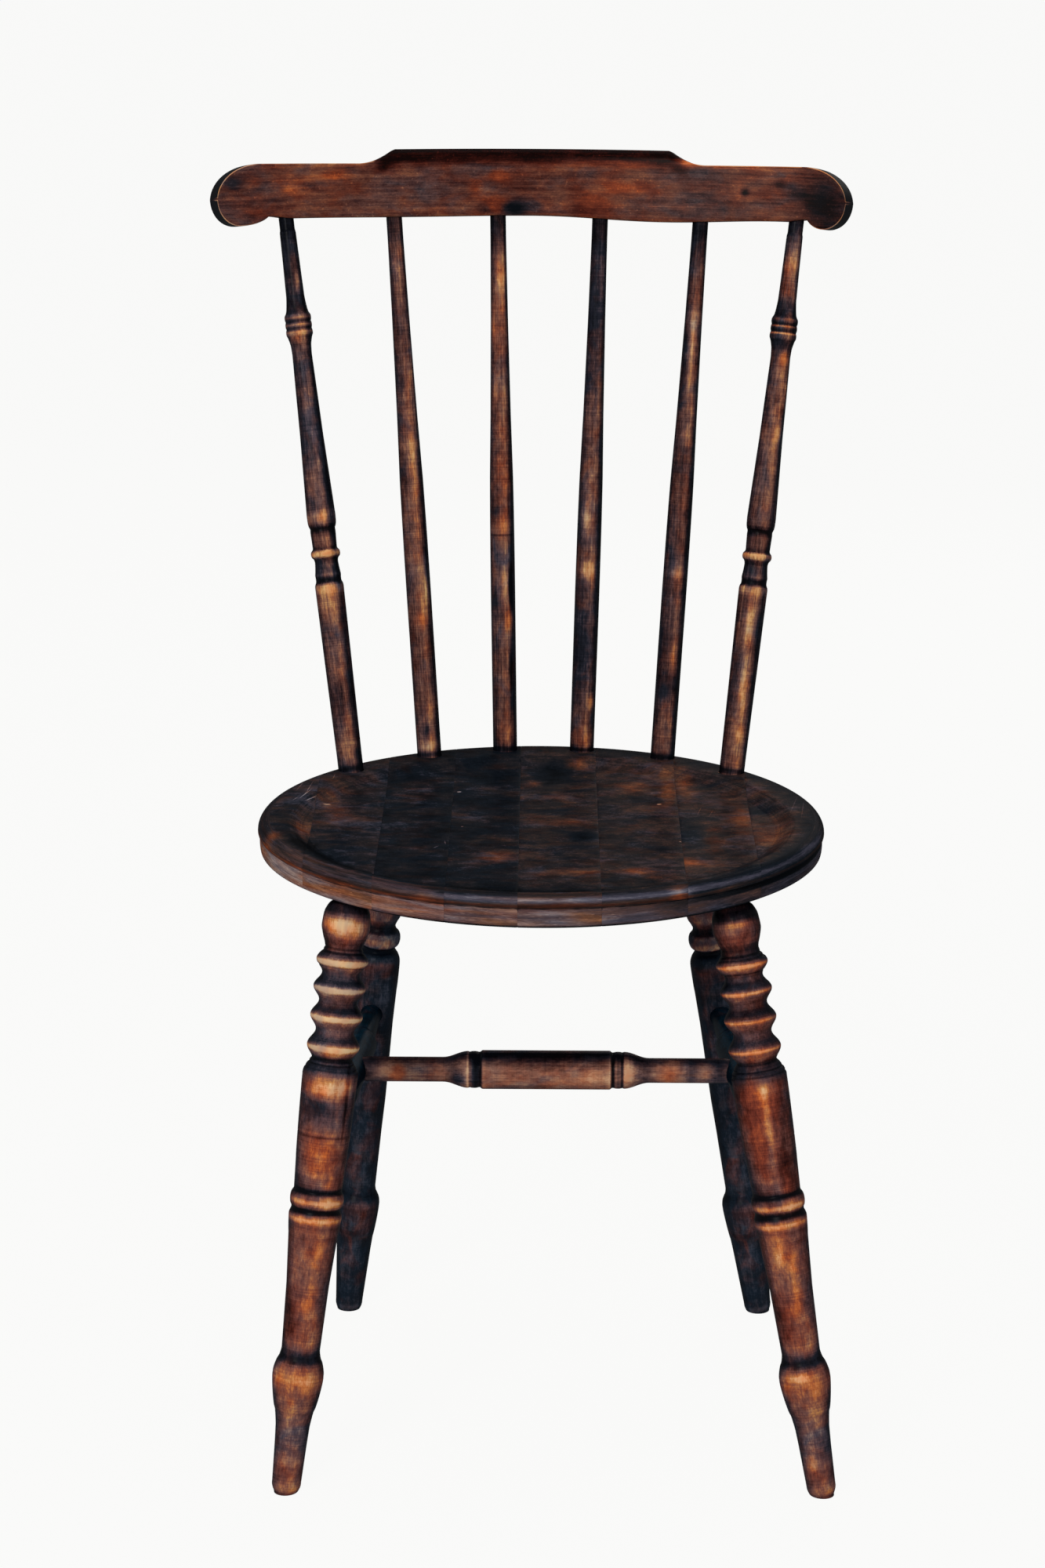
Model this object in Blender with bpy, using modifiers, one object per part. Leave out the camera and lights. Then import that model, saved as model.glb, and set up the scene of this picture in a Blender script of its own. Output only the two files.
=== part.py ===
"""Spindle back chair: a round dished seat glued from staves, four turned legs tied by an H of
stretchers, four spindles between two turned posts, and a curved top rail with rounded ears.
Lengths are metres. +Z is up and the front looks towards -Y. Left and right are as seen from
the front. The origin lies on the floor under the middle of the chair's box."""

import math

import bmesh
import bpy
from mathutils import Vector

# Fits that all pieces share
CLEARANCE = 0.0003
OVERRUN = 0.004
MERGE_DISTANCE = 0.00001
SMOOTH_ANGLE = math.radians(32)
SOCKET_STEPS = 12

# Seat, turned from a round glued board
SEAT_HEIGHT = 0.429
SEAT_RADIUS = 0.1975
SEAT_THICKNESS = 0.0240
SEAT_STEPS = 48
CREST_INSET = 0.008
LIP_DROP = 0.008
DISH_DEPTH = 0.0072
DISH_EDGE_DEPTH = 0.0060
COVE_WIDTH = 0.0155
DISH_SHIFT = 0.011
LEAST_RIM_WIDTH = 0.001
QUIRK_DEPTH = 0.0020
QUIRK_HEIGHT = 0.0014
TIER_INSET = 0.0016
TIER_SWELL = 0.0004
UNDER_EDGE_INSET = 0.0095
UNDER_EDGE_HEIGHT = 0.0035
LIP_STEPS = 3
COVE_STEPS = 3
DISH_FLOOR_SHARES = (0.75, 0.4)
SEAM_SHARES = (-0.81, -0.565, -0.32, -0.0765, 0.2025, 0.491, 0.745)

# Places of the legs: sockets as shares of the seat's radius, and how far the feet splay out
# from them sideways and to the front or back; all four feet also lean a little to the right
FRONT_SOCKET_SIDE_SHARE = 0.6506
FRONT_SOCKET_REACH_SHARE = 0.5873
FRONT_SPLAY_SIDE = 0.0547
FRONT_SPLAY_REACH = 0.066
BACK_SOCKET_SIDE_SHARE = 0.5544
BACK_SOCKET_REACH_SHARE = 0.5975
BACK_SPLAY_SIDE = 0.0465
BACK_SPLAY_REACH = 0.021
FEET_SIDE_SHIFT = 0.0115

# Legs
FRONT_LEG_RADIUS = 0.0187
BACK_LEG_RADIUS = 0.0164
LEG_STEPS = 14
LEG_TENON_RADIUS = 0.0100
LEG_TENON_END_RADIUS = 0.0086
LEG_TENON_DEPTH_SHARE = 0.655
LEG_NECK_LENGTH = 0.004
LEG_RING_COUNT = 4
LEG_RING_STEPS = 8
LEG_RING_PITCH = 0.0205
LEG_RING_PITCH_DROP = 0.0010
LEG_RING_TAPER = 0.0001
LEG_COVE_DEPTH = 0.0049

# Outlines up a leg from the floor: height as a share of the leg's length to the seat, radius
# and swell as shares of its largest radius, and the number of steps taken to get there
FRONT_LEG_LOWER_SHARES = (
    (0.000, 0.42, 0.0, 1), (0.015, 0.53, 0.03, 2), (0.085, 0.59, 0.0, 1), (0.109, 0.62, 0.0, 1),
    (0.140, 0.72, -0.01, 1), (0.200, 0.925, 0.05, 3), (0.226, 0.78, 0.04, 2), (0.242, 0.70, -0.01, 1),
    (0.350, 0.777, 0.0, 1), (0.436, 0.90, 0.0, 1), (0.470, 0.962, 0.01, 1), (0.478, 0.89, 0.0, 1),
    (0.482, 0.89, 0.0, 1), (0.508, 0.89, 0.085, 3), (0.510, 0.87, 0.0, 1), (0.562, 0.92, 0.0, 1),
    (0.700, 1.00, 0.015, 2), (0.716, 0.92, 0.03, 1), (0.728, 0.76, 0.0, 1))
FRONT_LEG_RING_SHARE = 0.7505
FRONT_LEG_RING_RADIUS_SHARE = 0.956
FRONT_LEG_UPPER_SHARES = (
    (0.914, 0.68, 0.0, 1), (0.925, 0.74, -0.01, 1), (0.946, 0.875, 0.01, 2),
    (0.970, 0.83, 0.01, 1), (0.986, 0.66, 0.02, 2))
BACK_LEG_SHARES = (
    (0.000, 0.51, 0.0, 1), (0.015, 0.61, 0.03, 2), (0.122, 0.78, 0.0, 1), (0.152, 0.84, 0.0, 1),
    (0.215, 1.00, 0.03, 3), (0.232, 0.93, 0.03, 1), (0.242, 0.80, 0.0, 1), (0.252, 0.756, 0.0, 1),
    (0.367, 0.825, 0.0, 1), (0.430, 0.88, 0.0, 1), (0.582, 0.913, 0.0, 1), (0.645, 0.963, 0.0, 1),
    (0.700, 0.99, 0.015, 2), (0.714, 0.86, 0.02, 1), (0.721, 0.72, 0.0, 1), (0.727, 0.74, 0.0, 1),
    (0.758, 0.74, 0.19, 4), (0.766, 0.656, 0.0, 1), (0.782, 0.82, -0.02, 1), (0.817, 0.96, 0.03, 2),
    (0.861, 0.975, 0.01, 1), (0.930, 0.86, 0.02, 2), (0.982, 0.68, 0.02, 1))

# Stretchers, as an H between the legs
STRETCHER_HEIGHT = 0.2436
TENON_STOP = 0.002
SIDE_STEPS = 10
SIDE_END_RADIUS = 0.0078
SIDE_NECK_RADIUS = 0.0088
SIDE_BARREL_RADIUS = 0.0124
SIDE_BARREL_LENGTH = 0.120
SIDE_FLAT_SHARE = 0.8
SIDE_FLARE_LENGTH = 0.014
SIDE_FLARE_STEPS = 4
CROSS_REACH_SHARE = 0.50
CROSS_STEPS = 12
CROSS_END_RADIUS = 0.0088
CROSS_TENON_END_RADIUS = 0.0076
CROSS_BARREL_RADIUS = 0.0138
CROSS_BARREL_LENGTH = 0.091
CROSS_GROOVE_WIDTH = 0.0026
CROSS_GROOVE_DEPTH = 0.0012
CROSS_BEAD_WIDTH = 0.0056
CROSS_BEAD_STEPS = 4
CROSS_LIP_RADIUS = 0.0131
CROSS_LIP_EDGE = 0.00065
CROSS_FLARE_LENGTH = 0.018
CROSS_FLARE_STEPS = 5

# Sticks of the back: spindles and posts
STICK_INSET = 0.0145
STICK_ANGLES = tuple(math.radians(angle) for angle in (-49.25, -26.9, -8.5, 9.4, 29.2, 49.2))
STICK_RAIL_SHARES = (-0.770, -0.430, -0.105, 0.214, 0.529, 0.832)
SEAT_SOCKET_DEPTH = 0.014
RAIL_SOCKET_DEPTH = 0.016
SPINDLE_RADIUS = 0.0090
SPINDLE_STEPS = 10
SPINDLE_SHARES = (
    (0.00, 0.985, 0.0, 1), (0.06, 0.985, 0.0, 1), (0.28, 1.00, 0.0, 1), (0.42, 0.985, 0.005, 1),
    (0.52, 0.945, 0.005, 1), (0.63, 0.83, 0.0, 1), (0.72, 0.765, 0.0, 1), (0.813, 0.70, 0.0, 1),
    (0.92, 0.65, 0.0, 1), (0.96, 0.635, 0.0, 1), (1.00, 0.635, 0.0, 1))
POST_RADIUS = 0.0106
POST_STEPS = 12
POST_SHARES = (
    (0.000, 0.863, 0.0, 1), (0.030, 0.863, 0.0, 1), (0.180, 0.925, 0.0, 1), (0.332, 0.985, 0.0, 1),
    (0.339, 0.96, 0.01, 1), (0.344, 0.87, 0.0, 1), (0.351, 0.87, 0.0, 1), (0.356, 0.895, 0.0, 1),
    (0.381, 0.80, -0.02, 2), (0.386, 0.85, 0.0, 1), (0.402, 0.85, 0.16, 4), (0.405, 0.83, 0.0, 1),
    (0.434, 0.87, 0.0, 1), (0.440, 0.85, 0.0, 1), (0.444, 0.93, 0.0, 1), (0.450, 0.975, 0.0, 1),
    (0.464, 0.99, 0.0, 1), (0.542, 0.887, 0.0, 1), (0.613, 0.792, 0.0, 1), (0.684, 0.736, 0.0, 1),
    (0.756, 0.67, 0.0, 1), (0.770, 0.70, 0.0, 1), (0.788, 0.86, -0.02, 1))
POST_BEAD_COUNT = 3
POST_BEAD_SHARE = 0.0131
POST_BEAD_RADIUS_SHARE = 0.845
POST_BEAD_SWELL_SHARE = 0.065
POST_TOP_SHARES = (
    (0.834, 0.745, -0.02, 1), (0.863, 0.623, -0.02, 2), (0.913, 0.585, 0.0, 1),
    (0.975, 0.55, 0.0, 1), (0.979, 0.51, 0.0, 1), (1.000, 0.51, 0.0, 1))

# Top rail: lengths along its curve from its own middle, heights above its lower edge
RAIL_BEND_RADIUS = 0.61
RAIL_LEAN = math.radians(9)
BACK_LEAN = 0.043
BACK_HEIGHT = 0.390
RAIL_SIDE_SHIFT = -0.0095
RAIL_THICKNESS = 0.020
RAIL_EDGE = 0.0016
RAIL_EDGE_SHARE = 0.25
RAIL_EDGE_STEPS = 2
CREST_ROLL_STEPS = 3
CREST_LENGTH = 0.202
CREST_HEIGHT = 0.0477
CREST_ROLL_HEIGHT = 0.008
CREST_ROLL_DEPTH = 0.0045
SLOPE_LENGTH = 0.027
WING_INNER_HEIGHT = 0.0378
WING_OUTER_HEIGHT = 0.0393
EAR_NOSE_HEIGHT = 0.0152
EAR_TOP_START = 0.2025
EAR_TOP_LENGTH = 0.0310
EAR_BOTTOM_LENGTH = 0.0175
EAR_DROP = 0.0046
NOTCH_INSET = 0.0030
NOTCH_SIDE_SHIFT = 0.005
NOTCH_RISE = 0.0020
NOTCH_LENGTH = 0.018
NOTCH_FULLNESS_SHARE = 0.7
SAG_LEFT = 0.0007
SAG_RIGHT = 0.0033
EAR_END_ANGLE = math.radians(85)
CREST_STATIONS = 6
SLOPE_STATIONS = 4
WING_STATIONS = 3
NOTCH_STATIONS = 4
EAR_STATIONS = 5

# Colours of the old stained wood
RAIL_COLOUR = "4b2c21"
POST_COLOUR = "3a2723"
SPINDLE_COLOURS = ("3f2a24", "35251f", "40291f", "38251f")
STAVE_COLOURS = ("4a342b", "5a4334", "3d2f2c", "5f4938", "473a35", "6a4a33", "51392c", "4f3a33")
FRONT_LEG_COLOUR = "6b4226"
BACK_LEG_COLOUR = "3b2621"
STRETCHER_COLOUR = "4c3228"
WOOD_ROUGHNESS = 0.42


class Axis:
    """The straight centre line of a turned piece, from its base to its tip."""

    def __init__(self, base, tip):
        self.base = Vector(base)
        self.tip = Vector(tip)
        self.length = (self.tip - self.base).length
        self.direction = (self.tip - self.base).normalized()

    def at_height(self, height):
        share = (height - self.base.z) / (self.tip.z - self.base.z)
        return self.base.lerp(self.tip, share)


def clear_scene():
    for obj in list(bpy.data.objects):
        bpy.data.objects.remove(obj, do_unlink=True)


def new_collection(name):
    collection = bpy.data.collections.new(name)
    bpy.context.scene.collection.children.link(collection)
    return collection


def linear(channel):
    """One sRGB channel, 0 to 255, as a linear value."""
    value = channel / 255
    return value / 12.92 if value <= 0.04045 else ((value + 0.055) / 1.055) ** 2.4


def wood(name, colour):
    material = bpy.data.materials.new(name)
    material.use_nodes = True
    shader = material.node_tree.nodes["Principled BSDF"]
    rgb = [linear(int(colour[i:i + 2], 16)) for i in (0, 2, 4)]
    shader.inputs["Base Color"].default_value = (*rgb, 1)
    shader.inputs["Roughness"].default_value = WOOD_ROUGHNESS
    shader.inputs["Metallic"].default_value = 0
    material.diffuse_color = (*rgb, 1)
    return material


def spread(start, end, count):
    """Even places from start to end, in so many steps, the last one left out."""
    return [start + (end - start) * i / count for i in range(count)]


def outline(stops, length, radius):
    """Points (height, radius) of a turned outline through its stops, bottom to top. A swell is
    a half ellipse laid on the straight line to the stop: a bead above zero, a cove below it."""
    points = [(stops[0][0] * length, stops[0][1] * radius)]
    for height_share, radius_share, swell_share, steps in stops[1:]:
        start_height, start_radius = points[-1]
        for i in range(1, steps + 1):
            turn = math.pi * i / steps
            share = (1 - math.cos(turn)) / 2
            height = start_height + (height_share * length - start_height) * share
            flat = start_radius + (radius_share * radius - start_radius) * share
            points.append((height, flat + swell_share * radius * math.sin(turn)))
    return points


def mirrored(points):
    """An outline given from the middle to one end, carried over to the other end."""
    return [(-height, radius) for height, radius in reversed(points)] + points


class Chair:
    """The collections, the empty that carries every piece, and the way pieces are added."""

    def __init__(self):
        self.pieces = new_collection("spindle_back_chair")
        self.cutters = new_collection("cutters")
        self.frame = bpy.data.objects.new("chair", None)
        self.pieces.objects.link(self.frame)
        self.solids = []

    def add(self, name, mesh, material):
        obj = bpy.data.objects.new(name, mesh)
        obj.parent = self.frame
        mesh.materials.append(material)
        self.pieces.objects.link(obj)
        self.solids.append(obj)
        return obj

    def add_cutter(self, name, mesh):
        obj = bpy.data.objects.new(name, mesh)
        obj.parent = self.frame
        obj.hide_render = True
        obj.display_type = "WIRE"
        self.cutters.objects.link(obj)
        return obj

    def socket(self, name, mouth, inward, depth, radius, end_radius=None):
        """A cutter for the blind socket of a round tenon, whose flats clear it all round."""
        end_radius = radius if end_radius is None else end_radius
        taper = (radius - end_radius) / depth
        depth = depth + CLEARANCE
        flat = math.cos(math.pi / SOCKET_STEPS)
        mesh = bpy.data.meshes.new(name)
        shape = bmesh.new()
        bmesh.ops.create_cone(
            shape, cap_ends=True, segments=SOCKET_STEPS,
            radius1=(radius + CLEARANCE + taper * OVERRUN) / flat,
            radius2=(radius + CLEARANCE - taper * depth) / flat, depth=depth + OVERRUN)
        bmesh.ops.translate(shape, verts=shape.verts, vec=(0, 0, (depth - OVERRUN) / 2))
        shape.to_mesh(mesh)
        shape.free()
        cutter = self.add_cutter(name, mesh)
        aim(cutter, mouth, inward)
        return cutter

    def finish(self):
        """Turn every piece's modifiers into its mesh, shade it smooth, and centre the chair."""
        bpy.context.view_layer.update()
        depsgraph = bpy.context.evaluated_depsgraph_get()
        made = {obj: bpy.data.meshes.new_from_object(obj.evaluated_get(depsgraph)) for obj in self.solids}
        for obj, mesh in made.items():
            obj.modifiers.clear()
            obj.data = mesh
            mesh.name = obj.name
            mesh.shade_smooth()
            mesh.set_sharp_from_angle(angle=SMOOTH_ANGLE)
        corners = [obj.matrix_world @ vertex.co for obj in self.solids for vertex in obj.data.vertices]
        low = [min(corner[i] for corner in corners) for i in range(3)]
        high = [max(corner[i] for corner in corners) for i in range(3)]
        self.frame.location = (-(low[0] + high[0]) / 2, -(low[1] + high[1]) / 2, -low[2])
        bpy.context.view_layer.update()


def aim(obj, base, direction):
    """Stand an object on its base with its own +Z along the direction."""
    obj.location = base
    obj.rotation_mode = "QUATERNION"
    obj.rotation_quaternion = Vector(direction).to_track_quat("Z", "Y")


def cut(obj, cutter, operation="DIFFERENCE"):
    modifier = obj.modifiers.new(cutter.name, "BOOLEAN")
    modifier.object = cutter
    modifier.operation = operation
    modifier.solver = "EXACT"


def profile_mesh(name, points):
    """The outline as a chain of edges at +X, from its top to its bottom, closed at the axis."""
    points = [(points[-1][0], 0)] + list(reversed(points)) + [(points[0][0], 0)]
    mesh = bpy.data.meshes.new(name)
    vertices = [(radius, 0, height) for height, radius in points]
    edges = [(i, i + 1) for i in range(len(points) - 1)]
    mesh.from_pydata(vertices, edges, [])
    return mesh


def spin(obj, steps):
    modifier = obj.modifiers.new("turn", "SCREW")
    modifier.axis = "Z"
    modifier.steps = steps
    modifier.render_steps = steps
    modifier.use_merge_vertices = True
    modifier.merge_threshold = MERGE_DISTANCE


def box_mesh(name, low, high):
    mesh = bpy.data.meshes.new(name)
    shape = bmesh.new()
    bmesh.ops.create_cube(shape, size=1)
    size = [high[i] - low[i] for i in range(3)]
    middle = [(high[i] + low[i]) / 2 for i in range(3)]
    bmesh.ops.scale(shape, verts=shape.verts, vec=size)
    bmesh.ops.translate(shape, verts=shape.verts, vec=middle)
    shape.to_mesh(mesh)
    shape.free()
    return mesh


def leg_axis(socket_side, socket_reach, splay_side, splay_reach):
    """A leg's centre line from the floor to the seat's underside; reaches count towards +Y."""
    foot = (socket_side + splay_side + FEET_SIDE_SHIFT, socket_reach + splay_reach, 0)
    return Axis(foot, (socket_side, socket_reach, SEAT_HEIGHT - SEAT_THICKNESS))


def front_leg_axis(side):
    socket_side = side * FRONT_SOCKET_SIDE_SHARE * SEAT_RADIUS
    socket_reach = -FRONT_SOCKET_REACH_SHARE * SEAT_RADIUS
    return leg_axis(socket_side, socket_reach, side * FRONT_SPLAY_SIDE, -FRONT_SPLAY_REACH)


def back_leg_axis(side):
    socket_side = side * BACK_SOCKET_SIDE_SHARE * SEAT_RADIUS
    socket_reach = BACK_SOCKET_REACH_SHARE * SEAT_RADIUS
    return leg_axis(socket_side, socket_reach, side * BACK_SPLAY_SIDE, BACK_SPLAY_REACH)


def side_stretcher_axis(side):
    front = front_leg_axis(side).at_height(STRETCHER_HEIGHT)
    back = back_leg_axis(side).at_height(STRETCHER_HEIGHT)
    return Axis(front, back)


def cross_stretcher_axis():
    left, right = side_stretcher_axis(-1), side_stretcher_axis(1)
    return Axis(left.base.lerp(left.tip, CROSS_REACH_SHARE), right.base.lerp(right.tip, CROSS_REACH_SHARE))


def stick_circle():
    """Radius of the circle on the seat on which all six sticks stand."""
    return SEAT_RADIUS - STICK_INSET


def rail_point(along, up, out):
    """A place in the rail: along its curve, up its leaning face, and out towards its back."""
    angle = along / RAIL_BEND_RADIUS
    x = (RAIL_BEND_RADIUS + out) * math.sin(angle)
    y = (RAIL_BEND_RADIUS + out) * math.cos(angle) - RAIL_BEND_RADIUS
    lift = up * math.cos(RAIL_LEAN) - out * math.sin(RAIL_LEAN) * math.cos(angle)
    reach = stick_circle() + BACK_LEAN + up * math.sin(RAIL_LEAN)
    return Vector((x + RAIL_SIDE_SHIFT, y + reach, SEAT_HEIGHT + BACK_HEIGHT + lift))


def stick_axis(index):
    """The centre line of a spindle or post from the seat's rim to the rail's underside."""
    angle = STICK_ANGLES[index]
    base = (stick_circle() * math.sin(angle), stick_circle() * math.cos(angle), SEAT_HEIGHT)
    along = STICK_RAIL_SHARES[index] * (EAR_TOP_START + EAR_TOP_LENGTH)
    return Axis(base, rail_point(along, 0, 0))


def seat_outline():
    """The seat's rings from its underside up over the rim and into the dish: height from the
    rim's crest, radius, and how far forward the ring sits. The dish sits forward of the seat's
    middle, so that the flat rim is wide at the back, where the sticks stand."""
    crest = SEAT_RADIUS - CREST_INSET
    mouth = crest - DISH_SHIFT - LEAST_RIM_WIDTH
    dish = mouth - COVE_WIDTH
    tier = SEAT_RADIUS - TIER_INSET
    quirk_top = -LIP_DROP - QUIRK_HEIGHT / 2
    tier_top = -LIP_DROP - QUIRK_HEIGHT
    tier_bottom = UNDER_EDGE_HEIGHT - SEAT_THICKNESS
    under_edge = SEAT_RADIUS - UNDER_EDGE_INSET
    points = [(-SEAT_THICKNESS, under_edge), (tier_bottom - QUIRK_HEIGHT / 2, tier - QUIRK_DEPTH)]
    points += [(tier_bottom, tier), ((tier_top + tier_bottom) / 2, tier + TIER_SWELL), (tier_top, tier)]
    points += [(tier_top, SEAT_RADIUS - QUIRK_DEPTH), (quirk_top, SEAT_RADIUS - QUIRK_DEPTH)]
    for i in range(LIP_STEPS + 1):
        turn = math.pi / 2 * i / LIP_STEPS
        points.append((-LIP_DROP * (1 - math.sin(turn)), crest + CREST_INSET * math.cos(turn)))
    rings = [(height, radius, 0) for height, radius in points]
    for i in range(COVE_STEPS + 1):
        share = i / COVE_STEPS
        drop = DISH_EDGE_DEPTH * (1 - math.cos(math.pi * share)) / 2
        rings.append((-drop, mouth - COVE_WIDTH * share, DISH_SHIFT))
    fall = DISH_DEPTH - DISH_EDGE_DEPTH
    rings += [(-DISH_DEPTH + fall * share ** 2, dish * share, DISH_SHIFT) for share in DISH_FLOOR_SHARES]
    return rings


def seat_mesh(name):
    """The whole round seat, closed above and below at its rings' middles."""
    rings = seat_outline()
    turns = [2 * math.pi * i / SEAT_STEPS for i in range(SEAT_STEPS)]
    shape = bmesh.new()
    loops = [[shape.verts.new((radius * math.cos(turn), radius * math.sin(turn) - shift, height))
              for turn in turns] for height, radius, shift in rings]
    for lower, upper in zip(loops, loops[1:]):
        for i in range(SEAT_STEPS):
            shape.faces.new((lower[i - 1], lower[i], upper[i], upper[i - 1]))
    for loop, height, shift in ((loops[0], -SEAT_THICKNESS, 0), (loops[-1], -DISH_DEPTH, DISH_SHIFT)):
        middle = shape.verts.new((0, -shift, height))
        for i in range(SEAT_STEPS):
            shape.faces.new((loop[i - 1], loop[i], middle))
    bmesh.ops.recalc_face_normals(shape, faces=shape.faces)
    mesh = bpy.data.meshes.new(name)
    shape.to_mesh(mesh)
    shape.free()
    return mesh


def add_seat(chair, sockets):
    """Eight staves: each is the whole turned seat, kept between two seams, with its sockets."""
    half_gap = CLEARANCE / 2
    reach = SEAT_RADIUS + OVERRUN
    socket_reach = max(LEG_TENON_RADIUS, POST_RADIUS) + OVERRUN
    seams = [share * SEAT_RADIUS for share in SEAM_SHARES]
    lows = [-reach] + [seam + half_gap for seam in seams]
    highs = [seam - half_gap for seam in seams] + [reach]
    for index, (low, high) in enumerate(zip(lows, highs)):
        name = f"seat_stave_{index + 1}"
        stave = chair.add(name, seat_mesh(name), wood(name, STAVE_COLOURS[index]))
        stave.location = (0, 0, SEAT_HEIGHT)
        slab = box_mesh(name + "_slab", (low, -reach, -reach), (high, reach, reach))
        slab_cutter = chair.add_cutter(name + "_slab", slab)
        slab_cutter.location = (0, 0, SEAT_HEIGHT)
        cut(stave, slab_cutter, "INTERSECT")
        for socket in sockets:
            if low - socket_reach < socket.location.x < high + socket_reach:
                cut(stave, socket)


def front_leg_outline(length):
    points = outline(FRONT_LEG_LOWER_SHARES, length, FRONT_LEG_RADIUS)
    first = FRONT_LEG_RING_SHARE * length
    crest = FRONT_LEG_RING_RADIUS_SHARE * FRONT_LEG_RADIUS
    half = LEG_RING_STEPS // 2
    for i in range(-half, (LEG_RING_COUNT - 1) * LEG_RING_STEPS + half):
        turn = i / LEG_RING_STEPS
        wave = (1 - math.cos(2 * math.pi * turn)) / 2
        height = first + turn * LEG_RING_PITCH - turn * (turn - 1) / 2 * LEG_RING_PITCH_DROP
        points.append((height, crest - turn * LEG_RING_TAPER - wave * LEG_COVE_DEPTH))
    height, radius = points[-1]
    stops = ((height / length, radius / FRONT_LEG_RADIUS, 0, 1),) + FRONT_LEG_UPPER_SHARES
    return points + outline(stops, length, FRONT_LEG_RADIUS)[1:]


def back_leg_outline(length):
    return outline(BACK_LEG_SHARES, length, BACK_LEG_RADIUS)


def leg_tenon_depth():
    return LEG_TENON_DEPTH_SHARE * (SEAT_THICKNESS - DISH_DEPTH)


def add_leg(chair, name, axis, points, colour):
    """A turned leg, sawn level at the floor and tapered to a tenon in the seat."""
    foot = [(points[0][0] - FRONT_LEG_RADIUS, points[0][1])]
    tenon = [(axis.length - LEG_NECK_LENGTH, LEG_TENON_RADIUS), (axis.length, LEG_TENON_RADIUS),
             (axis.length + leg_tenon_depth(), LEG_TENON_END_RADIUS)]
    leg = chair.add(name, profile_mesh(name, foot + points + tenon), wood(name, colour))
    aim(leg, axis.base, axis.direction)
    spin(leg, LEG_STEPS)
    return leg


def add_legs(chair, sockets):
    span = 2 * SEAT_RADIUS
    floor_mesh = box_mesh("floor_cut", (-span, -span, -span), (span, span, 0))
    floor = chair.add_cutter("floor_cut", floor_mesh)
    for side, word in ((-1, "left"), (1, "right")):
        stretcher = side_stretcher_axis(side)
        for end, axis, make, colour in (
                ("front", front_leg_axis(side), front_leg_outline, FRONT_LEG_COLOUR),
                ("back", back_leg_axis(side), back_leg_outline, BACK_LEG_COLOUR)):
            name = f"leg_{end}_{word}"
            leg = add_leg(chair, name, axis, make(axis.length), colour)
            cut(leg, floor)
            inward = -stretcher.direction if end == "front" else stretcher.direction
            depth = FRONT_LEG_RADIUS - TENON_STOP
            start = axis.at_height(STRETCHER_HEIGHT) - inward * FRONT_LEG_RADIUS
            cut(leg, chair.socket(name + "_stretcher_socket", start, inward, depth, SIDE_END_RADIUS))
            sockets.append(chair.socket(name + "_seat_socket", axis.tip, axis.direction,
                                        leg_tenon_depth(), LEG_TENON_RADIUS, LEG_TENON_END_RADIUS))


def add_side_stretcher(chair, side, word):
    """A barrel with flared shoulders between two slim ends, level between front and back leg."""
    axis = side_stretcher_axis(side)
    barrel = SIDE_BARREL_LENGTH / 2
    half = axis.length / 2
    flare = barrel + SIDE_FLARE_LENGTH
    surface = half - FRONT_LEG_RADIUS - OVERRUN
    points = [(barrel * SIDE_FLAT_SHARE, SIDE_BARREL_RADIUS)]
    bend = (SIDE_BARREL_RADIUS - SIDE_NECK_RADIUS) / 2
    for i in range(SIDE_FLARE_STEPS):
        share = (i + 1 / 2) / SIDE_FLARE_STEPS
        rise = bend * math.cos(math.pi * share)
        points.append((barrel + SIDE_FLARE_LENGTH * (share - 1 / 2), SIDE_NECK_RADIUS + bend + rise))
    points += [(flare, SIDE_NECK_RADIUS), (surface, SIDE_END_RADIUS), (half - TENON_STOP, SIDE_END_RADIUS)]
    name = f"side_stretcher_{word}"
    mesh = profile_mesh(name, mirrored(points))
    stretcher = chair.add(name, mesh, wood(name, STRETCHER_COLOUR))
    aim(stretcher, (axis.base + axis.tip) / 2, axis.direction)
    spin(stretcher, SIDE_STEPS)
    cross = cross_stretcher_axis()
    inward = cross.direction * side
    joint = cross.tip if side > 0 else cross.base
    start = joint - inward * SIDE_BARREL_RADIUS
    depth = SIDE_BARREL_RADIUS - TENON_STOP
    cut(stretcher, chair.socket(name + "_socket", start, inward, depth, CROSS_END_RADIUS, CROSS_TENON_END_RADIUS))


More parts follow.
